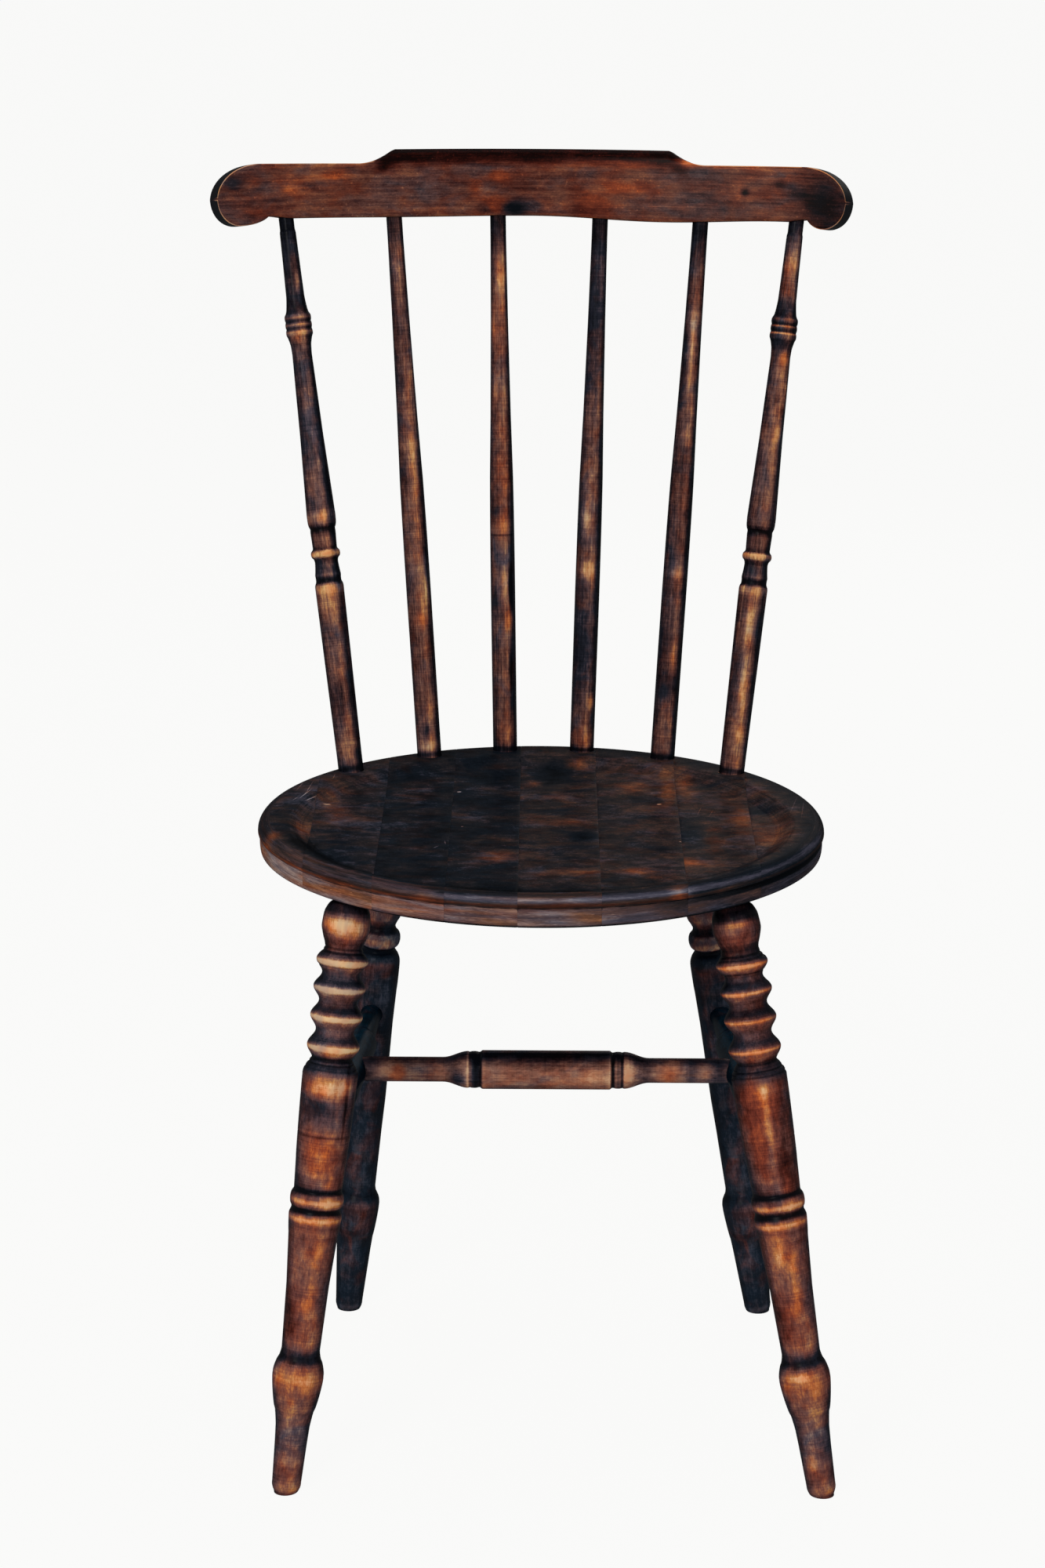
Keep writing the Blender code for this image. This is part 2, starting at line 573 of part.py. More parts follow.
def add_cross_stretcher(chair):
    """A long barrel between two grooved beads, flared down to slim ends."""
    axis = cross_stretcher_axis()
    half = axis.length / 2
    barrel = CROSS_BARREL_LENGTH / 2
    groove = CROSS_BARREL_RADIUS - CROSS_GROOVE_DEPTH
    bead = barrel + CROSS_GROOVE_WIDTH
    lip = bead + CROSS_BEAD_WIDTH + CROSS_GROOVE_WIDTH / 2
    points = [(barrel, CROSS_BARREL_RADIUS), (barrel + CROSS_GROOVE_WIDTH / 2, groove)]
    for i in range(CROSS_BEAD_STEPS):
        turn = math.pi * (i + 1 / 2) / CROSS_BEAD_STEPS
        swell = (CROSS_LIP_RADIUS - groove) * math.sin(turn)
        points.append((bead + CROSS_BEAD_WIDTH * (1 - math.cos(turn)) / 2, groove + swell))
    points += [(lip - CROSS_LIP_EDGE, groove), (lip, CROSS_LIP_RADIUS)]
    fall = CROSS_LIP_RADIUS - CROSS_END_RADIUS
    for i in range(1, CROSS_FLARE_STEPS + 1):
        share = i / CROSS_FLARE_STEPS
        points.append((lip + CROSS_FLARE_LENGTH * share,
                       CROSS_END_RADIUS + fall * (1 + math.cos(math.pi * share)) / 2))
    surface = half - SIDE_BARREL_RADIUS
    points += [(surface, CROSS_END_RADIUS), (half - TENON_STOP, CROSS_TENON_END_RADIUS)]
    name = "cross_stretcher"
    stretcher = chair.add(name, profile_mesh(name, mirrored(points)), wood(name, STRETCHER_COLOUR))
    aim(stretcher, (axis.base + axis.tip) / 2, axis.direction)
    spin(stretcher, CROSS_STEPS)


def post_outline(length):
    """The turned post: its lower shoulders and beads, then three fine beads by a loop."""
    stops = POST_SHARES
    for _ in range(POST_BEAD_COUNT):
        height = stops[-1][0] + POST_BEAD_SHARE
        stops += ((height, POST_BEAD_RADIUS_SHARE, POST_BEAD_SWELL_SHARE, 2),)
    return outline(stops + POST_TOP_SHARES, length, POST_RADIUS)


def spindle_outline(length):
    return outline(SPINDLE_SHARES, length, SPINDLE_RADIUS)


def add_sticks(chair, seat_sockets, rail_sockets):
    """Six sticks fanned between seat and rail; the two outer ones are the heavier posts."""
    last = len(STICK_ANGLES) - 1
    for index in range(last + 1):
        axis = stick_axis(index)
        if index in (0, last):
            name = "back_post_left" if index == 0 else "back_post_right"
            points, steps, colour = post_outline(axis.length), POST_STEPS, POST_COLOUR
        else:
            name = f"spindle_{index}"
            points, steps, colour = spindle_outline(axis.length), SPINDLE_STEPS, SPINDLE_COLOURS[index - 1]
        foot, head = points[0], points[-1]
        points = [(-SEAT_SOCKET_DEPTH, foot[1])] + points + [(axis.length + RAIL_SOCKET_DEPTH, head[1])]
        stick = chair.add(name, profile_mesh(name, points), wood(name, colour))
        aim(stick, axis.base, axis.direction)
        spin(stick, steps)
        seat_sockets.append(chair.socket(name + "_seat_socket", axis.base, -axis.direction,
                                         SEAT_SOCKET_DEPTH, foot[1]))
        rail_sockets.append(chair.socket(name + "_rail_socket", axis.tip, axis.direction,
                                         RAIL_SOCKET_DEPTH, head[1]))


def rail_side(along):
    return 1 if along >= 0 else -1


def rail_notch(side):
    """The distance of a notch from the rail's middle; both notches sit a little to the right."""
    return EAR_TOP_START - NOTCH_INSET + side * NOTCH_SIDE_SHIFT


def rail_low(along):
    """Height of the lower edge: a slack line, a small notch, and the ear's rounded drop."""
    side, place = rail_side(along), abs(along)
    notch, lobe = rail_notch(side), EAR_TOP_START + EAR_TOP_LENGTH - EAR_BOTTOM_LENGTH
    if place <= notch - NOTCH_LENGTH:
        sag = SAG_RIGHT if side > 0 else SAG_LEFT
        return -sag * math.sin(math.pi * place / (notch - NOTCH_LENGTH)) ** 2
    if place <= notch:
        share = (place - notch + NOTCH_LENGTH) / NOTCH_LENGTH
        return NOTCH_RISE * (1 - math.cos(math.pi * share)) / 2
    if place <= lobe:
        share = (place - notch) / (lobe - notch)
        return NOTCH_RISE - (NOTCH_RISE + EAR_DROP) * (1 - (1 - share) ** 2) ** NOTCH_FULLNESS_SHARE
    reach = min((place - lobe) / EAR_BOTTOM_LENGTH, 1)
    return EAR_NOSE_HEIGHT - (EAR_NOSE_HEIGHT + EAR_DROP) * math.sqrt(1 - reach ** 2)


def rail_high(along):
    """Height of the upper edge: the raised crest, a hollow slope, the wing and the ear."""
    place = abs(along)
    crest = CREST_LENGTH / 2
    if place <= crest:
        return CREST_HEIGHT
    wing = crest + SLOPE_LENGTH
    if place <= wing:
        share = (place - crest) / SLOPE_LENGTH
        return WING_INNER_HEIGHT + (CREST_HEIGHT - WING_INNER_HEIGHT) * (1 - share) ** 2
    if place <= EAR_TOP_START:
        share = (place - wing) / (EAR_TOP_START - wing)
        return WING_INNER_HEIGHT + (WING_OUTER_HEIGHT - WING_INNER_HEIGHT) * share
    reach = min((place - EAR_TOP_START) / EAR_TOP_LENGTH, 1)
    return EAR_NOSE_HEIGHT + (WING_OUTER_HEIGHT - EAR_NOSE_HEIGHT) * math.sqrt(1 - reach ** 2)


def rail_roll(along):
    """How much of the crest's rolled front edge is left here, from 1 down to 0."""
    past = (abs(along) - CREST_LENGTH / 2) / (SLOPE_LENGTH / 2)
    return max(0, 1 - max(0, past))


def rail_section(along):
    """The closed section (out, up) at a station, its four corners rounded."""
    low, high = rail_low(along), rail_high(along)
    edge = min(RAIL_EDGE, (high - low) * RAIL_EDGE_SHARE)
    roll = rail_roll(along)
    roll_depth = edge + (CREST_ROLL_DEPTH - RAIL_EDGE) * roll
    roll_height = edge + (CREST_ROLL_HEIGHT - RAIL_EDGE) * roll
    half = RAIL_THICKNESS / 2
    corners = ((-half + edge, low + edge, edge, edge, 270, 180, RAIL_EDGE_STEPS),
               (-half + roll_depth, high - roll_height, roll_depth, roll_height, 180, 90, CREST_ROLL_STEPS),
               (half - edge, high - edge, edge, edge, 90, 0, RAIL_EDGE_STEPS),
               (half - edge, low + edge, edge, edge, 360, 270, RAIL_EDGE_STEPS))
    section = []
    for out, up, depth, height, start, end, steps in corners:
        for i in range(steps + 1):
            turn = math.radians(start + (end - start) * i / steps)
            section.append((out + depth * math.cos(turn), up + height * math.sin(turn)))
    return section


def rail_stations():
    """Places along the rail, close together where its outline turns fast."""
    stations = []
    for side in (-1, 1):
        crest = CREST_LENGTH / 2
        wing = crest + SLOPE_LENGTH
        notch = rail_notch(side)
        lobe = EAR_TOP_START + EAR_TOP_LENGTH - EAR_BOTTOM_LENGTH
        places = spread(0, crest, CREST_STATIONS) + spread(crest, wing, SLOPE_STATIONS)
        places += spread(wing, notch - NOTCH_LENGTH, WING_STATIONS)
        places += spread(notch - NOTCH_LENGTH, notch, NOTCH_STATIONS) + spread(notch, lobe, NOTCH_STATIONS)
        places += [lobe + EAR_BOTTOM_LENGTH * math.sin(EAR_END_ANGLE * i / EAR_STATIONS)
                   for i in range(EAR_STATIONS + 1)]
        stations += [side * place for place in places]
    return sorted(set(stations))


def add_top_rail(chair, sockets):
    """The rail is lofted through its sections, because their outline changes all along it."""
    mesh = bpy.data.meshes.new("top_rail")
    shape = bmesh.new()
    rings = []
    for along in rail_stations():
        rings.append([shape.verts.new(rail_point(along, up, out)) for out, up in rail_section(along)])
    for ring, following in zip(rings, rings[1:]):
        for i in range(len(ring)):
            shape.faces.new((ring[i - 1], ring[i], following[i], following[i - 1]))
    shape.faces.new(rings[0])
    shape.faces.new(rings[-1])
    bmesh.ops.recalc_face_normals(shape, faces=shape.faces)
    shape.to_mesh(mesh)
    shape.free()
    rail = chair.add("top_rail", mesh, wood("top_rail", RAIL_COLOUR))
    for socket in sockets:
        cut(rail, socket)


def main():
    clear_scene()
    chair = Chair()
    seat_sockets, rail_sockets = [], []
    add_legs(chair, seat_sockets)
    for side, word in ((-1, "left"), (1, "right")):
        add_side_stretcher(chair, side, word)
    add_cross_stretcher(chair)
    add_sticks(chair, seat_sockets, rail_sockets)
    add_seat(chair, seat_sockets)
    add_top_rail(chair, rail_sockets)
    chair.finish()


main()
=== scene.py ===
"""Spindle back chair in old stained, varnished and worn turned beech. Every piece is made
again here with round turnings and fine lines, in the place and to the sizes of its solid.
Lengths are metres, +Z is up and the front looks towards -Y."""

import math

import bmesh
import bpy
import numpy as np
from mathutils import Matrix, Vector


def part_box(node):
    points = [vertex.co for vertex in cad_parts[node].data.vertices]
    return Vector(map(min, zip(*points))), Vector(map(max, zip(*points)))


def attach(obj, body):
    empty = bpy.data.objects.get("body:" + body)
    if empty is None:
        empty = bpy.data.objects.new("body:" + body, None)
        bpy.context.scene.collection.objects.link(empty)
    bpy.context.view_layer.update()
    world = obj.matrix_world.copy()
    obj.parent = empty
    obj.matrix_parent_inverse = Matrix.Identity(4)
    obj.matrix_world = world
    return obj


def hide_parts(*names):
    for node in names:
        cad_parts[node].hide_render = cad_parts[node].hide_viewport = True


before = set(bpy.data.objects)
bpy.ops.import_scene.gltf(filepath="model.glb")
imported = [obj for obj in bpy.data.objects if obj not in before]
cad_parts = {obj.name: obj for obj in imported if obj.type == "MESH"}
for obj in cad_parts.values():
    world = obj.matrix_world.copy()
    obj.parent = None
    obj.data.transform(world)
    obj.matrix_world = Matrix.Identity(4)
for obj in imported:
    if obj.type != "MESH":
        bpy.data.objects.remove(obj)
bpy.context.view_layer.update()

# Millimetres in a metre
MM = 1000
# Shared fits and finesse; the softness values ease the corners of a turning
CLEARANCE = 0.0003
OVERRUN = 0.004
STEP = 0.0008
TURNING_SOFTNESS = 0.0007
STICK_SOFTNESS = 0.0005
CROSS_SOFTNESS = 0.0004
SHARP_ANGLE = math.radians(40)
ALMOST_NOUGHT = 1e-9
SOCKET_SIDES = 32
FLOOR_TOUCH = 0.00001
STAVE_COUNT = 8
SIDES = ((-1, "left"), (1, "right"))

# Seat
SEAT_HEIGHT = 0.429
SEAT_RADIUS = 0.1975
SEAT_THICKNESS = 0.0240
SEAT_SIDES = 240
CREST_INSET = 0.008
LIP_DROP = 0.008
DISH_DEPTH = 0.0072
DISH_EDGE_DEPTH = 0.0060
COVE_WIDTH = 0.0155
DISH_SHIFT = 0.011
LEAST_RIM_WIDTH = 0.001
SEAT_CREST = SEAT_RADIUS - CREST_INSET
DISH_MOUTH = SEAT_CREST - DISH_SHIFT - LEAST_RIM_WIDTH
QUIRK_DEPTH = 0.0020
QUIRK_HEIGHT = 0.0014
TIER_INSET = 0.0016
TIER_SWELL = 0.0004
UNDER_EDGE_INSET = 0.0095
UNDER_EDGE_HEIGHT = 0.0035
# Corners of the quirks above and below the tier: shares of a quirk's depth in and height down
QUIRK_ABOVE = ((0.3, 0.1), (1.0, 0.4), (1.0, 0.8), (0.95, 1.0))
QUIRK_BELOW = ((0.05, 0.0), (0.8, 0.4), (1.0, 0.7), (1.4, 1.0))
SEAM_SHARES = (-0.81, -0.565, -0.32, -0.0765, 0.2025, 0.491, 0.745)
SEAM_BEVEL = 0.0006
SEAM_SINK = 0.00012
SEAM_GAP = 0.00005
DISH_RINGS = 46
COVE_STEPS = 12
LIP_STEPS = 10
TIER_STEPS = 9
UNDER_RINGS = 12

# Legs: sockets to the side and back as shares of the seat's radius, then the splay of the feet
LEG_PLACES = {"front": (0.6506, -0.5873, 0.0547, -0.066), "back": (0.5544, 0.5975, 0.0465, 0.021)}
FEET_SIDE_SHIFT = 0.0115
STRETCHER_HEIGHT = 0.2436
TENON_STOP = 0.002
FRONT_LEG_RADIUS = 0.0187
BACK_LEG_RADIUS = 0.0164
LEG_TENON_RADIUS = 0.0100
LEG_TENON_END_RADIUS = 0.0086
LEG_TENON_DEPTH = 0.0110
LEG_NECK_LENGTH = 0.004
SPARE_LENGTH = 0.0187
LEG_SIDES = 56
RING_COUNT = 4
RING_PITCH = 0.0205
RING_PITCH_DROP = 0.0010
RING_TAPER = 0.0001
RING_SHARE = 0.7505
RING_RADIUS_SHARE = 0.956
COVE_DEPTH = 0.0049
RING_STEPS = 28
LAST_COVE_SHARE = 0.4

# Outlines: height share, radius share, swell share of each stop, from the bottom up
FRONT_LEG_LOWER = (
    (0.000, 0.42, 0.0), (0.015, 0.53, 0.03), (0.085, 0.59, 0.0), (0.109, 0.62, 0.0),
    (0.140, 0.72, -0.01), (0.200, 0.925, 0.05), (0.226, 0.78, 0.04), (0.242, 0.70, -0.01),
    (0.350, 0.777, 0.0), (0.436, 0.90, 0.0), (0.470, 0.962, 0.01), (0.478, 0.89, 0.0),
    (0.482, 0.89, 0.0), (0.508, 0.89, 0.085), (0.510, 0.87, 0.0), (0.562, 0.92, 0.0),
    (0.700, 1.00, 0.015), (0.716, 0.92, 0.03), (0.728, 0.76, 0.0))
FRONT_LEG_UPPER = (
    (0.914, 0.68, 0.0), (0.925, 0.74, -0.01), (0.946, 0.875, 0.01), (0.970, 0.83, 0.01),
    (0.986, 0.66, 0.02))
BACK_LEG = (
    (0.000, 0.51, 0.0), (0.015, 0.61, 0.03), (0.122, 0.78, 0.0), (0.152, 0.84, 0.0),
    (0.215, 1.00, 0.03), (0.232, 0.93, 0.03), (0.242, 0.80, 0.0), (0.252, 0.756, 0.0),
    (0.367, 0.825, 0.0), (0.430, 0.88, 0.0), (0.582, 0.913, 0.0), (0.645, 0.963, 0.0),
    (0.700, 0.99, 0.015), (0.714, 0.86, 0.02), (0.721, 0.72, 0.0), (0.727, 0.74, 0.0),
    (0.758, 0.74, 0.19), (0.766, 0.656, 0.0), (0.782, 0.82, -0.02), (0.817, 0.96, 0.03),
    (0.861, 0.975, 0.01), (0.930, 0.86, 0.02), (0.982, 0.68, 0.02))
SPINDLE = (
    (0.00, 0.985, 0.0), (0.06, 0.985, 0.0), (0.28, 1.00, 0.0), (0.42, 0.985, 0.005),
    (0.52, 0.945, 0.005), (0.63, 0.83, 0.0), (0.72, 0.765, 0.0), (0.813, 0.70, 0.0),
    (0.92, 0.65, 0.0), (0.96, 0.635, 0.0), (1.00, 0.635, 0.0))
POST = (
    (0.000, 0.863, 0.0), (0.030, 0.863, 0.0), (0.180, 0.925, 0.0), (0.332, 0.985, 0.0),
    (0.339, 0.96, 0.01), (0.344, 0.87, 0.0), (0.351, 0.87, 0.0), (0.356, 0.895, 0.0),
    (0.381, 0.80, -0.02), (0.386, 0.85, 0.0), (0.402, 0.85, 0.16), (0.405, 0.83, 0.0),
    (0.434, 0.87, 0.0), (0.440, 0.85, 0.0), (0.444, 0.93, 0.0), (0.450, 0.975, 0.0),
    (0.464, 0.99, 0.0), (0.542, 0.887, 0.0), (0.613, 0.792, 0.0), (0.684, 0.736, 0.0),
    (0.756, 0.67, 0.0), (0.770, 0.70, 0.0), (0.788, 0.86, -0.02))
POST_BEAD_COUNT = 3
POST_BEAD = (0.0131, 0.845, 0.065)
POST_TOP = (
    (0.834, 0.745, -0.02), (0.863, 0.623, -0.02), (0.913, 0.585, 0.0),
    (0.975, 0.55, 0.0), (0.979, 0.51, 0.0), (1.000, 0.51, 0.0))
SPINDLE_RADIUS = 0.0090
POST_RADIUS = 0.0106
STICK_SIDES = 40
STICK_NODES = ("back_post_left", "spindle_1", "spindle_2", "spindle_3", "spindle_4",
               "back_post_right")
STICK_INSET = 0.0145
STICK_ANGLES = tuple(math.radians(angle) for angle in (-49.25, -26.9, -8.5, 9.4, 29.2, 49.2))
STICK_RAIL_SHARES = (-0.770, -0.430, -0.105, 0.214, 0.529, 0.832)
SEAT_SOCKET_DEPTH = 0.014
RAIL_SOCKET_DEPTH = 0.016

# Stretchers
SIDE_SIDES = 36
SIDE_END_RADIUS = 0.0078
SIDE_NECK_RADIUS = 0.0088
SIDE_BARREL_RADIUS = 0.0124
SIDE_BARREL_LENGTH = 0.120
SIDE_FLARE_LENGTH = 0.014
SIDE_FLAT_SHARE = 0.8
FLARE_STEPS = 12
BEAD_STEPS = 9
CROSS_SIDES = 44
CROSS_END_RADIUS = 0.0088
CROSS_TENON_END_RADIUS = 0.0076
CROSS_BARREL_RADIUS = 0.0138
CROSS_BARREL_LENGTH = 0.091
CROSS_GROOVE_WIDTH = 0.0026
CROSS_GROOVE_DEPTH = 0.0012
CROSS_BEAD_WIDTH = 0.0056
CROSS_LIP_RADIUS = 0.0131
CROSS_FLARE_LENGTH = 0.018

# Top rail
RAIL_BEND_RADIUS = 0.61
RAIL_LEAN = math.radians(9)
BACK_LEAN = 0.043
BACK_HEIGHT = 0.390
RAIL_REACH = SEAT_RADIUS - STICK_INSET + BACK_LEAN
RAIL_SIDE_SHIFT = -0.0095
RAIL_THICKNESS = 0.01995
RAIL_EDGE = 0.0016
# A corner's radius is at most the height of the section over this
CORNER_ROOM = 2.2
CREST_LENGTH = 0.202
CREST_HEIGHT = 0.0477
CREST_ROLL_HEIGHT = 0.008
CREST_ROLL_DEPTH = 0.0045
SLOPE_LENGTH = 0.027
WING_INNER_HEIGHT = 0.0378
WING_OUTER_HEIGHT = 0.0393
EAR_NOSE_HEIGHT = 0.0152
EAR_TOP_START = 0.2025
EAR_TOP_LENGTH = 0.0309
RAIL_HALF_LENGTH = EAR_TOP_START + EAR_TOP_LENGTH
EAR_BOTTOM_LENGTH = 0.0175
EAR_DROP = 0.0046
NOTCH_INSET = 0.0030
NOTCH_SIDE_SHIFT = 0.005
NOTCH_RISE = 0.0020
NOTCH_LENGTH = 0.018
NOTCH_FULLNESS_SHARE = 0.7
SAG_LEFT = 0.0007
SAG_RIGHT = 0.0033
RAIL_STATION_STEP = 0.0015
RAIL_FACE_STEPS = 20
RAIL_EDGE_STEPS = 6
CORNER_STEPS = 6
EAR_STEPS = 36
EAR_TURN = math.radians(87.5)


def seat_centre():
    """The seat's middle in the row's frame, from the box of its staves."""
    boxes = [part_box(f"seat_stave_{i + 1}") for i in range(STAVE_COUNT)]
    low = [min(box[0][axis] for box in boxes) for axis in range(2)]
    high = [max(box[1][axis] for box in boxes) for axis in range(2)]
    return Vector(((low[0] + high[0]) / 2, (low[1] + high[1]) / 2, 0))


CENTRE = seat_centre()


# Shapes shared by the pieces

def shares(count):
    """Even steps that end at one and leave out nought."""
    return [i / count for i in range(1, count + 1)]


def ease(share):
    """A soft fall from one to nought while the share grows from nought to one."""
    return (1 + math.cos(math.pi * share)) / 2


def rising(values, start, width):
    """Nought up to the start, then an even rise to one; a negative width rises the other way."""
    return np.clip((values - start) / width, 0, 1)


def hump(values, centre, half):
    """A soft hump of height one, with its half width."""
    return np.exp(-((values - centre) / half) ** 2)


def smoothed(values, width):
    """The values after a soft running mean that keeps both ends."""
    reach = int(3 * width) + 1
    weights = np.exp(-(np.arange(-reach, reach + 1) / width) ** 2 / 2)
    padded = np.concatenate([np.full(reach, values[0]), values, np.full(reach, values[-1])])
    return np.convolve(padded, weights / weights.sum(), mode="valid")


def outline(stops, length, radius):
    """Points (height, radius) through the stops, with half-ellipse swells between them."""
    points = [(stops[0][0] * length, stops[0][1] * radius)]
    for height_share, radius_share, swell in stops[1:]:
        start_height, start_radius = points[-1]
        rise = height_share * length - start_height
        steps = max(2, math.ceil(rise / STEP))
        for share in shares(steps):
            flat = start_radius + (radius_share * radius - start_radius) * share
            arch = math.sqrt(max(0.0, 1 - (2 * share - 1) ** 2))
            points.append((start_height + rise * share, flat + swell * radius * arch))
    return points


def profile(points, lines=(), softness=TURNING_SOFTNESS):
    """The outline at even heights, its corners eased, with fine cut lines: height, depth, width."""
    heights, radii = np.array(points).T
    count = int((heights[-1] - heights[0]) / (STEP / 2)) + 1
    even = np.linspace(heights[0], heights[-1], count)
    eased = smoothed(np.interp(even, heights, radii), softness / (STEP / 2))
    for height, depth, width in lines:
        eased = eased - depth * hump(even, height, width)
    return even, eased


def mirrored(points):
    """An outline from its middle, with the same points the other way first."""
    return [(-height, radius) for height, radius in reversed(points)] + points


def piece_matrix(base, tip, back=Vector((0, 1, 0))):
    """A turned piece's own frame: z along it, y to its back, x to its right from the front."""
    z = (tip - base).normalized()
    y = (back - back.project(z)).normalized()
    matrix = Matrix((y.cross(z), y, z)).transposed().to_4x4()
    matrix.translation = base
    return matrix


def add_node(tree, kind, inputs, **settings):
    """One node with its settings; each input is a socket to link or a value."""
    node = tree.nodes.new(kind)
    for name, value in settings.items():
        setattr(node, name, value)
    for name, value in inputs.items():
        if isinstance(value, bpy.types.NodeSocket):
            tree.links.new(value, node.inputs[name])
        else:
            node.inputs[name].default_value = value
    return node


def turning_tree():
    """Geometry nodes that turn an outline laid along Z, with its radii, into a solid."""
    tree = bpy.data.node_groups.new("turned_piece", "GeometryNodeTree")
    ports = tree.interface
    for name, kind in (("Outline", "Geometry"), ("Sides", "Int"), ("Finish", "Material")):
        ports.new_socket(name, in_out="INPUT", socket_type="NodeSocket" + kind)
    ports.new_socket("Piece", in_out="OUTPUT", socket_type="NodeSocketGeometry")
    entry = add_node(tree, "NodeGroupInput", {})
    radius = add_node(tree, "GeometryNodeInputNamedAttribute", {"Name": "turn_radius"},
                      data_type="FLOAT")
    line = add_node(tree, "GeometryNodeMeshToCurve", {"Mesh": entry.outputs["Outline"]})
    sized = add_node(tree, "GeometryNodeSetCurveRadius",
                     {"Curve": line.outputs[0], "Radius": radius.outputs["Attribute"]})
    ring = add_node(tree, "GeometryNodeCurvePrimitiveCircle",
                    {"Resolution": entry.outputs["Sides"], "Radius": 1.0}, mode="RADIUS")
    solid = add_node(tree, "GeometryNodeCurveToMesh", {
        "Curve": sized.outputs[0], "Profile Curve": ring.outputs[0], "Fill Caps": True})
    if "Scale" in solid.inputs:
        tree.links.new(radius.outputs["Attribute"], solid.inputs["Scale"])
    smooth = add_node(tree, "GeometryNodeSetShadeSmooth", {"Geometry": solid.outputs[0]})
    real = add_node(tree, "GeometryNodeRealizeInstances", {"Geometry": smooth.outputs[0]})
    dressed = add_node(tree, "GeometryNodeSetMaterial",
                       {"Geometry": real.outputs[0], "Material": entry.outputs["Finish"]})
    add_node(tree, "NodeGroupOutput", {"Piece": dressed.outputs[0]})
    return tree


TURNING = turning_tree()


def plain_object(name, data):
    obj = bpy.data.objects.new(name, data)
    bpy.context.scene.collection.objects.link(obj)
    return obj


def skin(shape, rings):
    """Faces between each ring of points and the next."""
    for ring, following in zip(rings, rings[1:]):
        for i in range(len(ring)):
            shape.faces.new((ring[i - 1], ring[i], following[i], following[i - 1]))


def mesh_of(name, shape):
    """The finished shape as a mesh."""
    mesh = bpy.data.meshes.new(name)
    shape.to_mesh(mesh)
    shape.free()
    return mesh


def settle(obj):
    """Turn the object's modifiers into its mesh."""
    bpy.context.view_layer.update()
    depsgraph = bpy.context.evaluated_depsgraph_get()
    mesh = bpy.data.meshes.new_from_object(obj.evaluated_get(depsgraph))
    obj.modifiers.clear()
    obj.data = mesh
    mesh.name = obj.name


def turned(name, heights, radii, sides, material):
    """A turned solid along Z, made by the turning tree from the outline's heights and radii."""
    mesh = bpy.data.meshes.new(name)
    mesh.from_pydata([(0, 0, height) for height in heights],
                     [(i, i + 1) for i in range(len(heights) - 1)], [])
    layer = mesh.attributes.new("turn_radius", "FLOAT", "POINT")
    layer.data.foreach_set("value", np.array(radii, np.float32))
    obj = plain_object(name, mesh)
    modifier = obj.modifiers.new("turning", "NODES")
    modifier.node_group = TURNING
    values = {"Sides": sides, "Finish": material}
    for item in TURNING.interface.items_tree:
        if item.in_out == "INPUT" and item.name in values:
            modifier[item.identifier] = values[item.name]
    settle(obj)
    return obj


def saw(shape, place, outwards, clear=True):
    """Cut a shape along a plane and give the edges of the cut; clear drops the outer side."""
    everything = list(shape.verts) + list(shape.edges) + list(shape.faces)
    cut = bmesh.ops.bisect_plane(shape, geom=everything, plane_co=place, plane_no=outwards,
                                 clear_outer=clear)["geom_cut"]
    return [edge for edge in cut if isinstance(edge, bmesh.types.BMEdge)]


def tidy_mesh(obj, floor=None):
    """Face the shell outwards and, for a leg, saw it level at the floor."""
    shape = bmesh.new()
    shape.from_mesh(obj.data)
    if floor is not None:
        bmesh.ops.contextual_create(shape, geom=saw(shape, (0, 0, floor), (0, 0, -1)))
    bmesh.ops.recalc_face_normals(shape, faces=shape.faces)
    shape.to_mesh(obj.data)
    shape.free()


def peg(name, mouth, inward, depth, radius, end_radius=None):
    """A cutter for a round blind socket."""
    end_radius = radius if end_radius is None else end_radius
    shape = bmesh.new()
    bmesh.ops.create_cone(shape, cap_ends=True, segments=SOCKET_SIDES, radius1=radius + CLEARANCE,
                          radius2=end_radius + CLEARANCE, depth=depth + OVERRUN)
    bmesh.ops.translate(shape, verts=shape.verts, vec=(0, 0, (depth - OVERRUN) / 2))
    mesh = mesh_of(name, shape)
    turn = Vector(inward).to_track_quat("Z", "Y").to_matrix().to_4x4()
    mesh.transform(Matrix.Translation(mouth) @ turn)
    return plain_object(name, mesh)


def bore(obj, pegs):
    """Cut the sockets out of a piece."""
    for cutter in pegs:
        modifier = obj.modifiers.new(cutter.name, "BOOLEAN")
        modifier.object = cutter
        modifier.operation = "DIFFERENCE"
        modifier.solver = "EXACT"
    settle(obj)


def drop_pegs(pegs):
    for cutter in pegs:
        bpy.data.objects.remove(cutter)


def points_of(obj):
    """The places of a piece's points, one row each."""
    points = np.zeros(len(obj.data.vertices) * 3)
    obj.data.vertices.foreach_get("co", points)
    return points.reshape(-1, 3)


def finish_piece(obj, node, material):
    """Shade a piece, give it its material, and let it stand for its solid."""
    obj.data.materials.clear()
    obj.data.materials.append(material)
    obj.data.polygons.foreach_set("material_index", [0] * len(obj.data.polygons))
    obj.data.shade_smooth()
    obj.data.set_sharp_from_angle(angle=SHARP_ANGLE)
    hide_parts(node)
    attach(obj, "root")


def make_turning(node, matrix, shape, sides, wood, pegs=(), floor=None, **look):
    """One turned piece, from its profile to its sockets, marks and finish."""
    heights, radii = shape
    obj = turned("dressed_" + node, heights, radii, sides, wood)
    obj.data.transform(matrix)
    tidy_mesh(obj, floor)
    if pegs:
        bore(obj, pegs)
        drop_pegs(pegs)
    mark_turning(obj, matrix, heights, radii, **look)
    finish_piece(obj, node, wood)


# Marks of wear on the points of a piece

